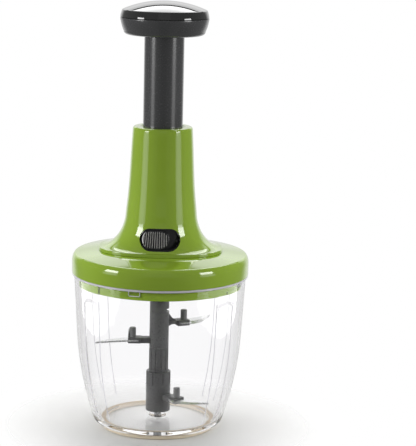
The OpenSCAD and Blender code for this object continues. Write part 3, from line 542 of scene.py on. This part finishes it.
def bowl_lugs():
    """Bayonet lugs inside the rim, clear, with their rounded edges in near white: painted glints."""
    sink, soft, corner_angle, steps = 0.05, 0.5, 1.0, 10
    low, high = LUG_Z
    lugs = []
    for turn in QUARTERS:
        lug = band(LUG_IN_R, side_r(low, BOWL_WALL) - sink, low, high, LUG_ANGLE + turn, LUG_SPAN, steps)
        bmesh.ops.recalc_face_normals(lug, faces=lug.faces)
        corners = [edge for edge in lug.edges if edge.calc_face_angle(0) > corner_angle]
        rounded = bmesh.ops.bevel(lug, geom=corners, offset=soft * MM, segments=2, affect="EDGES")
        # The rounded edges take the near-white painted glint
        for face in rounded["faces"]:
            face.material_index = 1
        lugs.append(lug)
    item = piece("bowl_lugs", join(lugs), "bowl", CLEAR)
    item.data.materials.append(PAINTED_GLINT)


def foot():
    _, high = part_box("foot_ring")
    outer, height = high.x / MM, high.z / MM
    inner = outer - FOOT_W
    edge = 0.7
    profile = arc(inner + edge, edge, edge, 180, 270, 4) + arc(outer - edge, edge, edge, 270, 360, 4)
    profile += [(outer, height), (inner, height)]
    piece("foot_ring_soft", revolve(profile, steps=256), "bowl", FOOT, ["foot_ring"])


# Lid
def lid_tracks(skirt_r, skirt_z, rim_z):
    """Cuts in the skirt that the lugs enter by and slide along."""
    top_gap, past_side, past_foot, turn_gap = 0.4, 0.3, 1.0, 1.0
    track_r, track_top = LUG_IN_R - RUN_GAP, rim_z - top_gap
    cuts = []
    for turn in QUARTERS:
        cuts.append(band(track_r, skirt_r + past_side, LUG_Z[0] - RUN_GAP, track_top,
                         LUG_ANGLE - TWIST / 2 + turn, LUG_SPAN + TWIST + 2 * turn_gap))
        cuts.append(band(track_r, skirt_r + past_side, skirt_z - past_foot, LUG_Z[0],
                         LUG_ANGLE - TWIST + turn, LUG_SPAN + 2 * turn_gap))
    return cuts


def lid_posts():
    """Hollow posts under the top, between the quarters."""
    low, high, out, first_turn = BOWL_H - 5.4, SEAT_Z - 2.0, 47.0, 45
    bore, r, steps = 1.6, 3.6, 32
    posts = []
    for turn in QUARTERS:
        post = revolve([(bore, low), (r, low), (r, high), (bore, high)], steps)
        posts.append(turned(moved(post, out), first_turn + turn))
    return posts


def lid_cover():
    low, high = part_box("lid")
    rim_gap, rim_h, edge_w, edge_h, seat_r, bore = 0.1, 14.6, 3.0, 6.4, 46.5, 17.2
    rim_r, skirt_z, rim_z = high.x / MM, low.z / MM, BOWL_H + rim_gap
    edge_z = rim_z + rim_h
    top_w, rim_w, skirt_w, shoulder, small, edge_count = 2.4, 2.4, 3.2, 3.0, 0.5, 20
    seat_ease_w, seat_ease_h, inner_drop = 0.6, 0.1, 1.0
    skirt_r = side_r(skirt_z, BOWL_WALL) - RUN_GAP
    skirt_in = skirt_r - skirt_w
    top_r = rim_r - edge_w
    slope = atan2(SEAT_Z - edge_z, top_r - seat_r)
    edge_end = atan2(edge_h * cos(slope), edge_w * sin(slope))
    profile = [(skirt_in, skirt_z)] + arc(skirt_r - small, skirt_z + small, small, 270, 360, 3)
    profile += [(skirt_r, rim_z)] + arc(rim_r - small, rim_z + small, small, 270, 360, 4)
    for i in range(edge_count + 1):
        t = edge_end * i / edge_count
        profile.append((top_r + edge_w * cos(t), edge_z - edge_h * (1 - sin(t))))
    profile += [(seat_r + seat_ease_w, SEAT_Z - seat_ease_h), (seat_r, SEAT_Z), (bore, SEAT_Z),
                (bore, SEAT_Z - top_w), (seat_r, SEAT_Z - top_w), (top_r, edge_z - top_w),
                (rim_r - rim_w, edge_z - edge_w - inner_drop), (rim_r - rim_w, rim_z + shoulder),
                (skirt_in, rim_z + shoulder)]
    cover = carve(revolve(profile, steps=288), lid_tracks(skirt_r, skirt_z, rim_z))
    piece("lid_cover", join([cover] + lid_posts()), "lid", GREEN, ["lid"])


# Tower: a round top that flows into an oval flange, by a flare a little higher than the solid's
FLANGE_T = 2.6
FLARE_Z0 = SEAT_Z + FLANGE_T
FLARE_H = 24.0
FLARE_Z1 = FLARE_Z0 + FLARE_H
FLANGE_A = 45.0
FLANGE_B = 32.6
TOP_R = 21.6
TOP_EDGE_H = 2.0
TOP_EDGE_Z = TOWER_TOP - TOP_EDGE_H
LOW_R = 26.0
TAPER_H = 64.8
CORE_SLOPE = (LOW_R - TOP_R) / TAPER_H


def core_r(z):
    """Radius of the tower's taper, with a slight waist."""
    waist, waist_low = 0.55, 0.7
    share = min(1.0, max(0.0, (z - FLARE_Z1) / (TOP_EDGE_Z - FLARE_Z1)))
    return TOP_R + (TOP_EDGE_Z - z) * CORE_SLOPE - waist * sin(pi * share ** waist_low) ** 2


def flare(z):
    """Share of the flange's reach at a height."""
    if z >= FLARE_Z1:
        return 0.0
    return 1 - sqrt(max(0.0, 1 - min(1.0, (FLARE_Z1 - z) / FLARE_H) ** 2))


def half_a(z):
    return core_r(z) + (FLANGE_A - core_r(FLARE_Z0)) * flare(z)


def half_b(z):
    return core_r(z) + (FLANGE_B - core_r(FLARE_Z0)) * flare(z)


def oval(a, b, blunt, z, steps):
    """Ring of half widths a and b; 2 is an ellipse and more is blunter."""
    power = 2 / blunt
    ring = []
    for i in range(steps):
        c, s = cos(2 * pi * i / steps), sin(2 * pi * i / steps)
        x = a * abs(c) ** power * (1 if c > 0 else -1)
        y = b * abs(s) ** power * (1 if s > 0 else -1)
        ring.append((x, y, z))
    return ring


def tower_ring(z, inset, at_z, steps):
    """Outline of the tower at one height, drawn in and set at another."""
    flange_blunt = 0.4
    return oval(half_a(z) - inset, half_b(z) - inset, 2 + flange_blunt * flare(z), at_z, steps)


def stadium(w, h, steps=16):
    """Outline of a slot with round ends, about the origin."""
    outline = []
    for side in (1, -1):
        for i in range(steps + 1):
            t = radians(180 * i / steps - 90 * side)
            outline.append((side * (w - h) / 2 + h / 2 * cos(t), h / 2 * sin(t)))
    return outline


def tower():
    steps, flare_steps, side_steps, edge_steps, inner_steps = 192, 40, 40, 8, 8
    edge, wall, bore, guide_z, chamfer_w, chamfer_h, foot_gap = 1.6, 2.4, 14.6, 193.3, 1.7, 1.6, 0.2
    cut_front, cut_back = -40, -12
    # Edge of the flange: how far each ring is drawn in, and its height
    flange = ((0.35, SEAT_Z), (0, SEAT_Z + 0.4), (0, FLARE_Z0 - 0.8), (0.12, FLARE_Z0 - 0.3), (0.5, FLARE_Z0))
    rings = [tower_ring(FLARE_Z0, inset, z, steps) for inset, z in flange]
    for i in range(1, flare_steps + 1):
        z = FLARE_Z0 + FLARE_H * (1 - cos(pi / 2 * i / flare_steps))
        rings.append(tower_ring(z, 0, z, steps))
    for i in range(1, side_steps + 1):
        z = FLARE_Z1 + (TOP_EDGE_Z - FLARE_Z1) * i / side_steps
        rings.append(tower_ring(z, 0, z, steps))
    for i in range(1, edge_steps + 1):
        t = pi / 2 * i / edge_steps
        rings.append(circle(TOP_R - edge * (1 - cos(t)), TOP_EDGE_Z + TOP_EDGE_H * sin(t), steps))
    rings += [circle(bore + chamfer_w, TOWER_TOP, steps), circle(bore, TOWER_TOP - chamfer_h, steps),
              circle(bore, guide_z, steps)]
    for i in range(inner_steps + 1):
        z = guide_z - (guide_z - SEAT_Z - foot_gap) * i / inner_steps
        rings.append(tower_ring(max(FLARE_Z0, z + wall), wall, z, steps))
    rings.append(tower_ring(FLARE_Z0, wall, SEAT_Z, steps))
    opening = [(x, LOCK_Z + z) for x, z in stadium(LOCK_W, LOCK_H)]
    shell = carve(loft(rings, closed=True), [prism(opening, cut_front, cut_back)])
    piece("tower", shell, "lid", GREEN, ["housing"], sharp=28)


# Lock: a curved pad with raised ribs
PAD_TURN = -7.0
PAD_SPAN = 42.0
PAD_H = 13.5
PAD_R = 28.0
PAD_W = 2 * PAD_R * sin(radians(PAD_SPAN / 2))


def slider_pad():
    proud, soft, soft_steps, back_r = 0.1, 0.5, 4, 25.6
    insets = (1.2, 2.4, 3.8, 5.2, 6.4)

    def face_r(z):
        return half_b(z) + proud

    def ring(inset, lift):
        """Outline of the pad, drawn in, at a height above its face or on its back."""
        points = []
        for x, up in stadium(PAD_W - 2 * inset, PAD_H - 2 * inset):
            z = LOCK_Z + up
            r = back_r if lift is None else face_r(z) + lift
            points.append((x, -sqrt(r * r - x * x), z))
        return points

    rings = [ring(0, None), ring(0, -soft)]
    for i in range(1, soft_steps + 1):
        t = pi / 2 * i / soft_steps
        rings.append(ring(soft * (1 - cos(t)), soft * (sin(t) - 1)))
    rings += [ring(inset, 0) for inset in insets]
    piece("slider_pad", turned(loft(rings, capped=True), PAD_TURN), "lock", BLACK, ["lock_slider"])


def slider_ribs():
    count, levels, width, height, end_gap, side_gap = 11, 16, 0.62, 0.8, 1.0, 4.5
    sink, ease_w, ease_h, end_power, end_share = 0.2, 0.2, 0.3, 6, 0.02
    span, side = PAD_SPAN - 2 * side_gap, width / 2
    ribs = []
    for k in range(count):
        turn = (k - (count - 1) / 2) * span / (count - 1)
        past = max(0.0, PAD_R * sin(radians(abs(turn))) - (PAD_W - PAD_H) / 2)
        half = sqrt((PAD_H / 2) ** 2 - past * past) - end_gap
        sections = []
        for i in range(levels + 1):
            s = 2 * i / levels - 1
            z = LOCK_Z + half * s
            low = half_b(z) - sink
            top = half_b(z) + height * sqrt(max(end_share, 1 - abs(s) ** end_power))
            outline = ((-side, low), (-side, top - ease_h), (-side + ease_w, top), (side - ease_w, top),
                       (side, top - ease_h), (side, low))
            sections.append([(x, -r, z) for x, r in outline])
        ribs.append(turned(loft(sections, capped=True), PAD_TURN + turn))
    # The ribs take the light grey that paints the highlight of their lit tops
    piece("slider_ribs", join(ribs), "lock", RIBBED)


# Knob
def dome(r, top, rise, count):
    """Points of a shallow round dome from its edge to its top."""
    ball = (r * r + rise * rise) / (2 * rise)
    angles = [asin(r / ball) * (1 - i / count) for i in range(count + 1)]
    return [(ball * sin(t), top - ball * (1 - cos(t))) for t in angles]


def knob_lower():
    low_r, tube_r, wall, edge, foot_run, sleeve = 29.2, 14.32, 2.6, 2.6, 4.0, 2.4
    hole, web_t, web_z, socket_h, bulge = 1.7, 2.4, KNOB_Z + 10, 3.4, 0.5
    floor_z, corner_w, corner_h, foot_steps, side_steps = KNOB_Z + 3, 1.6, 1.4, 12, 16
    # Rounded edge of the rim: how far in and how far down
    rim_edge = ((0.12, 0.2), (0.5, 0.0))
    side_h = KNOB_BASE_H - edge - rim_edge[-1][0]
    profile = [(tube_r, KNOB_Z)]
    for i in range(foot_steps + 1):
        t = pi / 2 * i / foot_steps
        profile.append((low_r - foot_run + foot_run * sin(t), KNOB_Z + edge * (1 - cos(t))))
    for i in range(1, side_steps + 1):
        s = i / side_steps
        swell = s * (1 + bulge - bulge * s)
        profile.append((low_r + (KNOB_R - low_r) * swell, KNOB_Z + edge + side_h * s))
    profile += [(KNOB_R - inset, KNOB_RIM_Z - drop) for inset, drop in rim_edge]
    profile += [(KNOB_R - wall, KNOB_RIM_Z), (KNOB_R - wall, KNOB_RIM_Z - socket_h),
                (low_r - wall, floor_z + corner_h), (low_r - wall - corner_w, floor_z),
                (tube_r + sleeve, floor_z), (tube_r + sleeve, web_z + web_t), (hole, web_z + web_t),
                (hole, web_z), (tube_r, web_z)]
    piece("knob_lower", revolve(profile, steps=224), "plunger", DARK, ["knob_base"])


def knob_upper():
    """Cap with a leaning wall, a rounded corner and a shallow dome."""
    cap_h, seam, skin, inner_rise = 12.0, 0.15, 2.2, 4.0
    wall_h, lean, lean_power, wall_steps, corner, dome_tilt = 4.6, 1.1, 1.5, 12, 1.3, 66
    edge_in, wall_in, wall_up = 0.4, 0.1, 0.2
    spigot_r, spigot_in, spigot_h = KNOB_R - 3.0, KNOB_R - 5.2, 3.0
    cap_z, cap_top = KNOB_RIM_Z + seam, KNOB_RIM_Z + cap_h
    profile = [(spigot_in, cap_z - spigot_h), (spigot_r, cap_z - spigot_h), (spigot_r, cap_z),
               (KNOB_R - edge_in, cap_z)]
    for i in range(wall_steps + 1):
        s = i / wall_steps
        profile.append((KNOB_R - wall_in - lean * s ** lean_power, cap_z + wall_up + wall_h * s))
    wall_r, wall_z = profile[-1]
    tilt = degrees(atan2(lean_power * lean, wall_h))
    corner_r, corner_z = wall_r - corner * cos(radians(tilt)), wall_z - corner * sin(radians(tilt))
    profile += arc(corner_r, corner_z, corner, tilt, dome_tilt, 8)[1:]
    dome_r, dome_z = profile[-1]
    profile += dome(dome_r, cap_top, cap_top - dome_z, 30)[1:]
    profile += [(0, cap_top - skin)] + dome(spigot_in, cap_top - skin, inner_rise, 12)[-2::-1]
    piece("knob_upper", revolve(profile, steps=224), "plunger", CAP, ["knob_cap"])


# Blade stack
def column(r, z0, z1, edge=0.4, bore=0.0, steps=96):
    profile = arc(r - edge, z0 + edge, edge, 270, 360, 3) + arc(r - edge, z1 - edge, edge, 0, 90, 3)
    return revolve(profile + [(bore, z1), (bore, z0)], steps)


def grooved(r, z, bore, count, groove_r, groove_out, groove_z):
    """Column with round grooves along its outside."""
    grooves = []
    for i in range(count):
        groove = column(groove_r, *groove_z, edge=0.2, steps=24)
        grooves.append(turned(moved(groove, r + groove_out), 360 * (i + 0.5) / count))
    return carve(column(r, *z, bore=bore), grooves)


def arm(at, z0, stem):
    """Stem and the split block that clamps a blade."""
    top, mid = z0 + ARM_T, z0 + ARM_T / 2
    block_x = ARM_REACH - BLOCK_LEN
    slack, soft = 0.05, 0.5
    half, gap = ARM_W / 2, BLADE_T / 2 + slack
    bar = rounded_box((ARM_ROOT, -half, top - stem), (block_x + BLOCK_ROOT / 2, half, top), soft)
    block = rounded_box((block_x, -half - BLOCK_OUT, z0), (ARM_REACH, half + BLOCK_OUT, top), soft)
    slit = rounded_box((block_x + BLOCK_ROOT, -ARM_W, mid - gap),
                       (ARM_REACH + BLOCK_LEN, ARM_W, mid + gap), 0)
    return [turned(part, at) for part in (bar, carve(block, [slit]))]


def web(at, z0):
    """Web that braces a slim stem against the column."""
    top, left, right = z0 + ARM_T, -1.5, 1.7
    run, rise, knee, hollow = 8.0, 5.5, 1.8, (4.6, 1.9)
    outline = [(0, -ARM_T), (knee, -ARM_T), (run, -STEM_T / 2), (run, 0), hollow, (knee, rise), (0, rise)]
    return turned(prism([(ARM_ROOT + x, top + z) for x, z in outline], left, right), at)


def fin(at, z0):
    """Thin fin that stands at the outer end of an arm, narrower at its tip."""
    thick, half, height, tip = 1.0, 1.5, 5.8, 0.35
    x, top = ARM_REACH - thick, z0 + ARM_T
    low, tip_z = top - ARM_T / 4, top + height
    outline = [(x, low), (ARM_REACH, low), (ARM_REACH, top), (ARM_REACH - tip, tip_z), (x + tip, tip_z),
               (x, top)]
    return turned(prism(outline, -half, half), at)


def holder():
    bore = 5.06
    upper_at, upper_z, _ = ARMS["upper"]
    middle_at, middle_z, _ = ARMS["middle"]
    lower_at, lower_z, _ = ARMS["lower"]
    twin = [column(COLUMN_R, *HUB_Z["twin"], bore=bore), web(upper_at, upper_z), fin(middle_at, middle_z)]
    twin += arm(upper_at, upper_z, STEM_T) + arm(middle_at, middle_z, ARM_T)
    piece("twin_hub_arms", join(twin), "blades", HOLDER, ["twin_hub"])
    above_arm, past_top, flute_end = 6.5, 10, 1.2
    sleeve = grooved(LOW_HUB_R, HUB_Z["lower"], bore, count=8, groove_r=1.0, groove_out=0.5,
                     groove_z=(lower_z + ARM_T + above_arm, HUB_Z["lower"][1] + past_top))
    lower = join([sleeve] + arm(lower_at, lower_z, ARM_T))
    piece("lower_hub_arm", lower, "blades", HOLDER, ["lower_hub"])
    flute_z = (HUB_Z["spacer"][0] + flute_end, HUB_Z["spacer"][1] - flute_end)
    spacer = grooved(COLUMN_R, HUB_Z["spacer"], bore, count=12, groove_r=0.9, groove_out=0.4,
                     groove_z=flute_z)
    piece("fluted_sleeve", spacer, "blades", HOLDER, ["fluted_spacer"])


def pegs():
    """Round-topped pegs that pin the blades in the arms."""
    tip, steps = 0.7, 40
    parts = []
    for at, z0, _ in ARMS.values():
        low, top = z0 + ARM_T - PEG_SINK, z0 + ARM_T + PEG_UP
        profile = [(0, low), (PEG_R, low)] + arc(PEG_R - tip, top - tip, tip, 0, 90, 5) + [(0, top)]
        parts.append(turned(moved(revolve(profile, steps), PEG_AT), at))
    piece("blade_pegs", join(parts), "blades", PEG, ["blade_pins"])


def bend(a, b, c, s):
    """Point at a share along the curve from a to c that b draws out."""
    return tuple(p * (1 - s) ** 2 + q * 2 * s * (1 - s) + r * s * s for p, q, r in zip(a, b, c))


def blade(name, node, at, z0, reach):
    """Curved blade with a ground leading edge."""
    root_gap, root_out = 0.2, 0.6
    root, half = ARM_REACH - BLOCK_LEN + BLOCK_ROOT + root_gap, ARM_W / 2 + root_out
    tip = (reach * cos(BLADE_SWEEP), reach * sin(BLADE_SWEEP))
    lead_share, lead_bow, trail_share, trail_bow = 0.6, 9.0, 0.68, 2.5
    lead = (reach * lead_share, -half - lead_bow)
    trail = (reach * trail_share, half + trail_bow)
    low = z0 + (ARM_T - BLADE_T) / 2
    top = low + BLADE_T
    grind_from, grind_run, grind_least, grind_share, grind_depth = 0.22, 0.06, 0.05, 0.34, 0.9
    count, tip_share, hole_gap, hole_past = 40, 0.985, 0.02, 1.0
    sections = []
    for i in range(count + 1):
        s = tip_share * i / count
        ground = min(1.0, max(grind_least, (s - grind_from) / grind_run))
        front = bend((root, -half), lead, tip, s)
        back = bend((root, half), trail, tip, s)
        ridge = tuple(f + (b - f) * grind_share * ground for f, b in zip(front, back))
        sections.append([(*front, low), (*back, low), (*back, top), (*ridge, top),
                         (*front, top - BLADE_T * grind_depth * ground)])
    hole = column(PEG_R + hole_gap, low - hole_past, top + hole_past, edge=0.1, steps=40)
    plate = carve(loft(sections, capped=True), [moved(hole, PEG_AT)])
    piece(name, turned(plate, at), "blades", BLADE, [node], sharp=12)


# Return spring
def spring():
    low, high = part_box("return_spring")
    coils, radius, wire, end_gap, sides, coil_steps = 13, 9.6, 0.75, 0.5, 10, 36
    start, end = low.z / MM + wire, high.z / MM - wire
    closed = 2 * wire + end_gap
    open_pitch = (end - start - 2 * closed) / (coils - 2)

    def height(c):
        """Height of the wire after a number of coils; the end coils are closed."""
        if c < 1:
            return start + closed * c
        if c < coils - 1:
            return start + closed + open_pitch * (c - 1)
        return start + closed + open_pitch * (coils - 2) + closed * (c - coils + 1)

    sections = []
    for i in range(coils * coil_steps + 1):
        c = i / coil_steps
        t = 2 * pi * c
        ring = []
        for j in range(sides):
            out, up = wire * cos(2 * pi * j / sides), wire * sin(2 * pi * j / sides)
            ring.append(((radius + out) * cos(t), (radius + out) * sin(t), height(c) + up))
        sections.append(ring)
    item = piece("spring_wire", loft(sections, capped=True), "lid", STEEL, ["return_spring"])
    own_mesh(item)


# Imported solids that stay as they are
def dress_solids():
    finishes = {
        BLACK: ["lock_bezel", "lock_tongue"],
        DARK: ["plunger_tube", "bearing_plate"],
        GREEN_SOFT: ["under_plate"],
        HOLDER: ["ratchet_coupling", "blade_spindle"],
        PALE: ["screw_bearing", "drive_nut", "spring_seat", "pawl_driver", "pivot_bush"],
        STEEL: ["pivot_pin", "plate_screws", "housing_screws", "thrust_washer", "knob_screw", "drive_screw",
                "retaining_clip"],
    }
    for material, names in finishes.items():
        for name in names:
            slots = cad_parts[name].data.materials
            slots.clear()
            slots.append(material)


# Stage
def stage_floor():
    """Pale table that fades into the white background away from the object."""
    half_size, drop, fade_from, fade_to = 1.6, 0.2 * MM, 0.05, 0.145
    bm = bmesh.new()
    bmesh.ops.create_grid(bm, x_segments=1, y_segments=1, size=half_size)
    mesh = bpy.data.meshes.new("floor")
    bm.to_mesh(mesh)
    bm.free()
    floor = bpy.data.objects.new("floor", mesh)
    floor.location.z = -drop
    scene.collection.objects.link(floor)
    material, tree, shader = new_material("floor_paper")
    set_values(shader, {"Base Color": (0.78, 0.775, 0.77, 1), "Roughness": 0.55, "Specular IOR Level": 0.2})
    coords = add(tree, "ShaderNodeTexCoord")
    length = add(tree, "ShaderNodeVectorMath", operation="LENGTH")
    tree.links.new(coords.outputs["Object"], length.inputs[0])
    fade = remap(tree, length.outputs["Value"], fade_from, fade_to, easing="SMOOTHSTEP")
    through = add(tree, "ShaderNodeBsdfTransparent")
    show(tree, shader_mix(tree, fade, shader.outputs[0], through.outputs[0]))
    mesh.materials.append(material)


def studio_colour(tree):
    """White backdrop that ends at the sides and a dim room around it, by world direction."""
    room_level, side_from, side_to = 0.15, 0.45, 0.75
    # Degrees from the backdrop's foot: below the table, then up, over the object and down to the front
    levels = ((-180, 0.1), (-60, 0.1), (-25, 0.75), (-2, 0.75), (4, 0.8), (10, 0.8), (14, 1.0), (18, 1.2),
              (29.4, 1.25), (30.2, 0.06), (34, 0.06), (34.6, 1.0), (42, 1.0), (50, 0.35), (100, 0.24),
              (180, 0.22))
    coords = add(tree, "ShaderNodeTexCoord")
    axes = add(tree, "ShaderNodeSeparateXYZ")
    tree.links.new(coords.outputs["Generated"], axes.inputs[0])
    over = add(tree, "ShaderNodeMath", operation="ARCTAN2")
    tree.links.new(axes.outputs["Z"], over.inputs[0])
    tree.links.new(axes.outputs["Y"], over.inputs[1])
    ramp = add(tree, "ShaderNodeValToRGB")
    stops = ramp.color_ramp.elements
    while len(stops) < len(levels):
        stops.new(0.5)
    for stop, (angle, level) in zip(stops, levels):
        stop.position = (angle + 180) / 360
        stop.color = (level, level, level, 1)
    tree.links.new(remap(tree, over.outputs[0], -pi, pi), ramp.inputs["Fac"])
    aside = add(tree, "ShaderNodeMath", operation="ABSOLUTE")
    tree.links.new(axes.outputs["X"], aside.inputs[0])
    share = remap(tree, aside.outputs[0], side_from, side_to, easing="SMOOTHSTEP")
    colours, mixed = colour_mix(tree, share)
    tree.links.new(ramp.outputs["Color"], colours[0])
    colours[1].default_value = (room_level, room_level, room_level, 1)
    return mixed


def world_light():
    world = bpy.data.worlds.new("studio")
    scene.world = world
    world.use_nodes = True
    tree = world.node_tree
    tree.nodes.clear()
    path = add(tree, "ShaderNodeLightPath")
    studio = add(tree, "ShaderNodeBackground", Strength=1.0)
    tree.links.new(studio_colour(tree), studio.inputs["Color"])
    backdrop = add(tree, "ShaderNodeBackground", Color=(1, 1, 1, 1), Strength=1.0)
    # Rays that only pass through clear walls see the background; rays that bounced see the studio
    bounces = add(tree, "ShaderNodeMath", operation="ADD")
    tree.links.new(path.outputs["Glossy Depth"], bounces.inputs[0])
    tree.links.new(path.outputs["Diffuse Depth"], bounces.inputs[1])
    direct = add(tree, "ShaderNodeMath", operation="LESS_THAN")
    tree.links.new(bounces.outputs[0], direct.inputs[0])
    direct.inputs[1].default_value = 0.5
    output = add(tree, "ShaderNodeOutputWorld")
    seen = shader_mix(tree, direct.outputs[0], studio.outputs[0], backdrop.outputs[0])
    tree.links.new(seen, output.inputs["Surface"])


def lamp(name, place, aim, size, radiance):
    """Soft box of a width and height that shines with an even radiance."""
    data = bpy.data.lights.new(name, "AREA")
    data.shape = "RECTANGLE"
    data.size, data.size_y = size
    data.energy = radiance * pi * size[0] * size[1]
    item = bpy.data.objects.new(name, data)
    scene.collection.objects.link(item)
    direction = Vector(aim) - Vector(place)
    item.location = place
    item.rotation_euler = direction.to_track_quat("-Z", "Y").to_euler()
    item.visible_camera = False
    item.visible_transmission = False
    return item


# Angle of the front boxes from the front, in degrees, and the two sides
BOX_TURN = 62.5
SIDES = (("left", -1), ("right", 1))


def side_cards():
    """Grey cards at each side that keep the front boxes out of what other sides reflect."""
    out, low, high, level = 0.12, 0.1, 0.42, 0.16
    # Where each card starts and ends, square to the line from the axis to the box
    spans = (("front", -0.13, -0.047), ("back", 0.0145, 0.075))
    material, tree, _ = new_material("grey_card")
    glow = add(tree, "ShaderNodeEmission", Color=(level, level, level, 1), Strength=1.0)
    show(tree, glow.outputs[0])
    turn = radians(BOX_TURN)
    for side_name, side in SIDES:
        along = Vector((side * sin(turn), -cos(turn), 0))
        back = Vector((side * cos(turn), sin(turn), 0))
        for span_name, near, far in spans:
            name = side_name + "_" + span_name + "_card"
            corners = ((near, low), (far, low), (far, high), (near, high))
            points = [along * out + back * away + Vector((0, 0, z)) for away, z in corners]
            mesh = bpy.data.meshes.new(name)
            mesh.from_pydata(points, [], [(0, 1, 2, 3)])
            mesh.materials.append(material)
            item = bpy.data.objects.new(name, mesh)
            scene.collection.objects.link(item)
            item.visible_camera = False
            item.visible_diffuse = False
            item.visible_transmission = False
            item.visible_shadow = False


def placed(turn, away, z, lift=0):
    """Point at an angle from the front, a distance from the axis and an angle above a height."""
    at, up = radians(FRONT + turn), radians(lift)
    return (away * cos(at) * cos(up), away * sin(at) * cos(up), z + away * sin(up))


def front_boxes():
    """Strips and boxes beside the front, and a fill at each side that nothing mirrors."""
    away, levels = 1.0, {"left": 1.0, "right": 0.88}
    # Height, then width and height of the box, and its radiance
    boxes = (("strip", 0.1, (0.24, 0.2), 1.3), ("soft_strip", 0.1, (0.42, 0.2), 1.0),
             ("upper_strip", 0.17, (0.24, 0.06), 1.2), ("low_box", 0.235, (0.28, 0.06), 4.5),
             ("box", 0.385, (0.33, 0.24), 9.0))
    fill_turn, fill_away, fill_z, fill_size = 88, 1.2, 0.22, (0.7, 0.4)
    fills = {"left": 9.4, "right": 6.6}
    for name, side in SIDES:
        for kind, z, size, radiance in boxes:
            place = placed(side * BOX_TURN, away, z)
            lamp(name + "_" + kind, place, (0, 0, z), size, radiance * levels[name])
        place = placed(side * fill_turn, fill_away, fill_z)
        fill = lamp(name + "_fill", place, (0, 0, fill_z), fill_size, fills[name])
        fill.visible_glossy = False


def wall_boxes():
    """Low boxes at each side that only the clear wall reflects, a pale veil over the lid's skirt."""
    z, aim, height = 0.006, (0, 0, 0.1), 0.07
    # Angle from the front, distance, width and radiance
    boxes = (("veil", 86.5, 0.36, 0.53, 6.8), ("veil_strip", 61, 0.39, 0.05, 5.5))
    bowl_only = bpy.data.collections.new("bowl_only")
    bowl_only.objects.link(bpy.data.objects["bowl_shell"])
    for name, side in SIDES:
        for kind, turn, away, width, radiance in boxes:
            veil = lamp(name + "_" + kind, placed(side * turn, away, z), aim, (width, height), radiance)
            veil.light_linking.receiver_collection = bowl_only


def back_box():
    """Soft box above and behind, aimed at the knob's top."""
    away, lift, size, radiance = 1.2, 57, (1.3, 1.0), 3.0
    knob_top = cad_box[1][2]
    lamp("back_box", placed(180, away, knob_top, lift), (0, 0, knob_top), size, radiance)


make_camera()
bowl_shell()
bowl_lip()
bowl_painted_lines()
bowl_lugs()
foot()
lid_cover()
tower()
slider_pad()
slider_ribs()
knob_lower()
knob_upper()
holder()
pegs()
for arm_name, (arm_at, arm_z, arm_blade) in ARMS.items():
    blade(arm_name + "_ground_blade", arm_name + "_blade", arm_at, arm_z, arm_blade)
spring()
dress_solids()
stage_floor()
world_light()
side_cards()
front_boxes()
wall_boxes()
back_box()
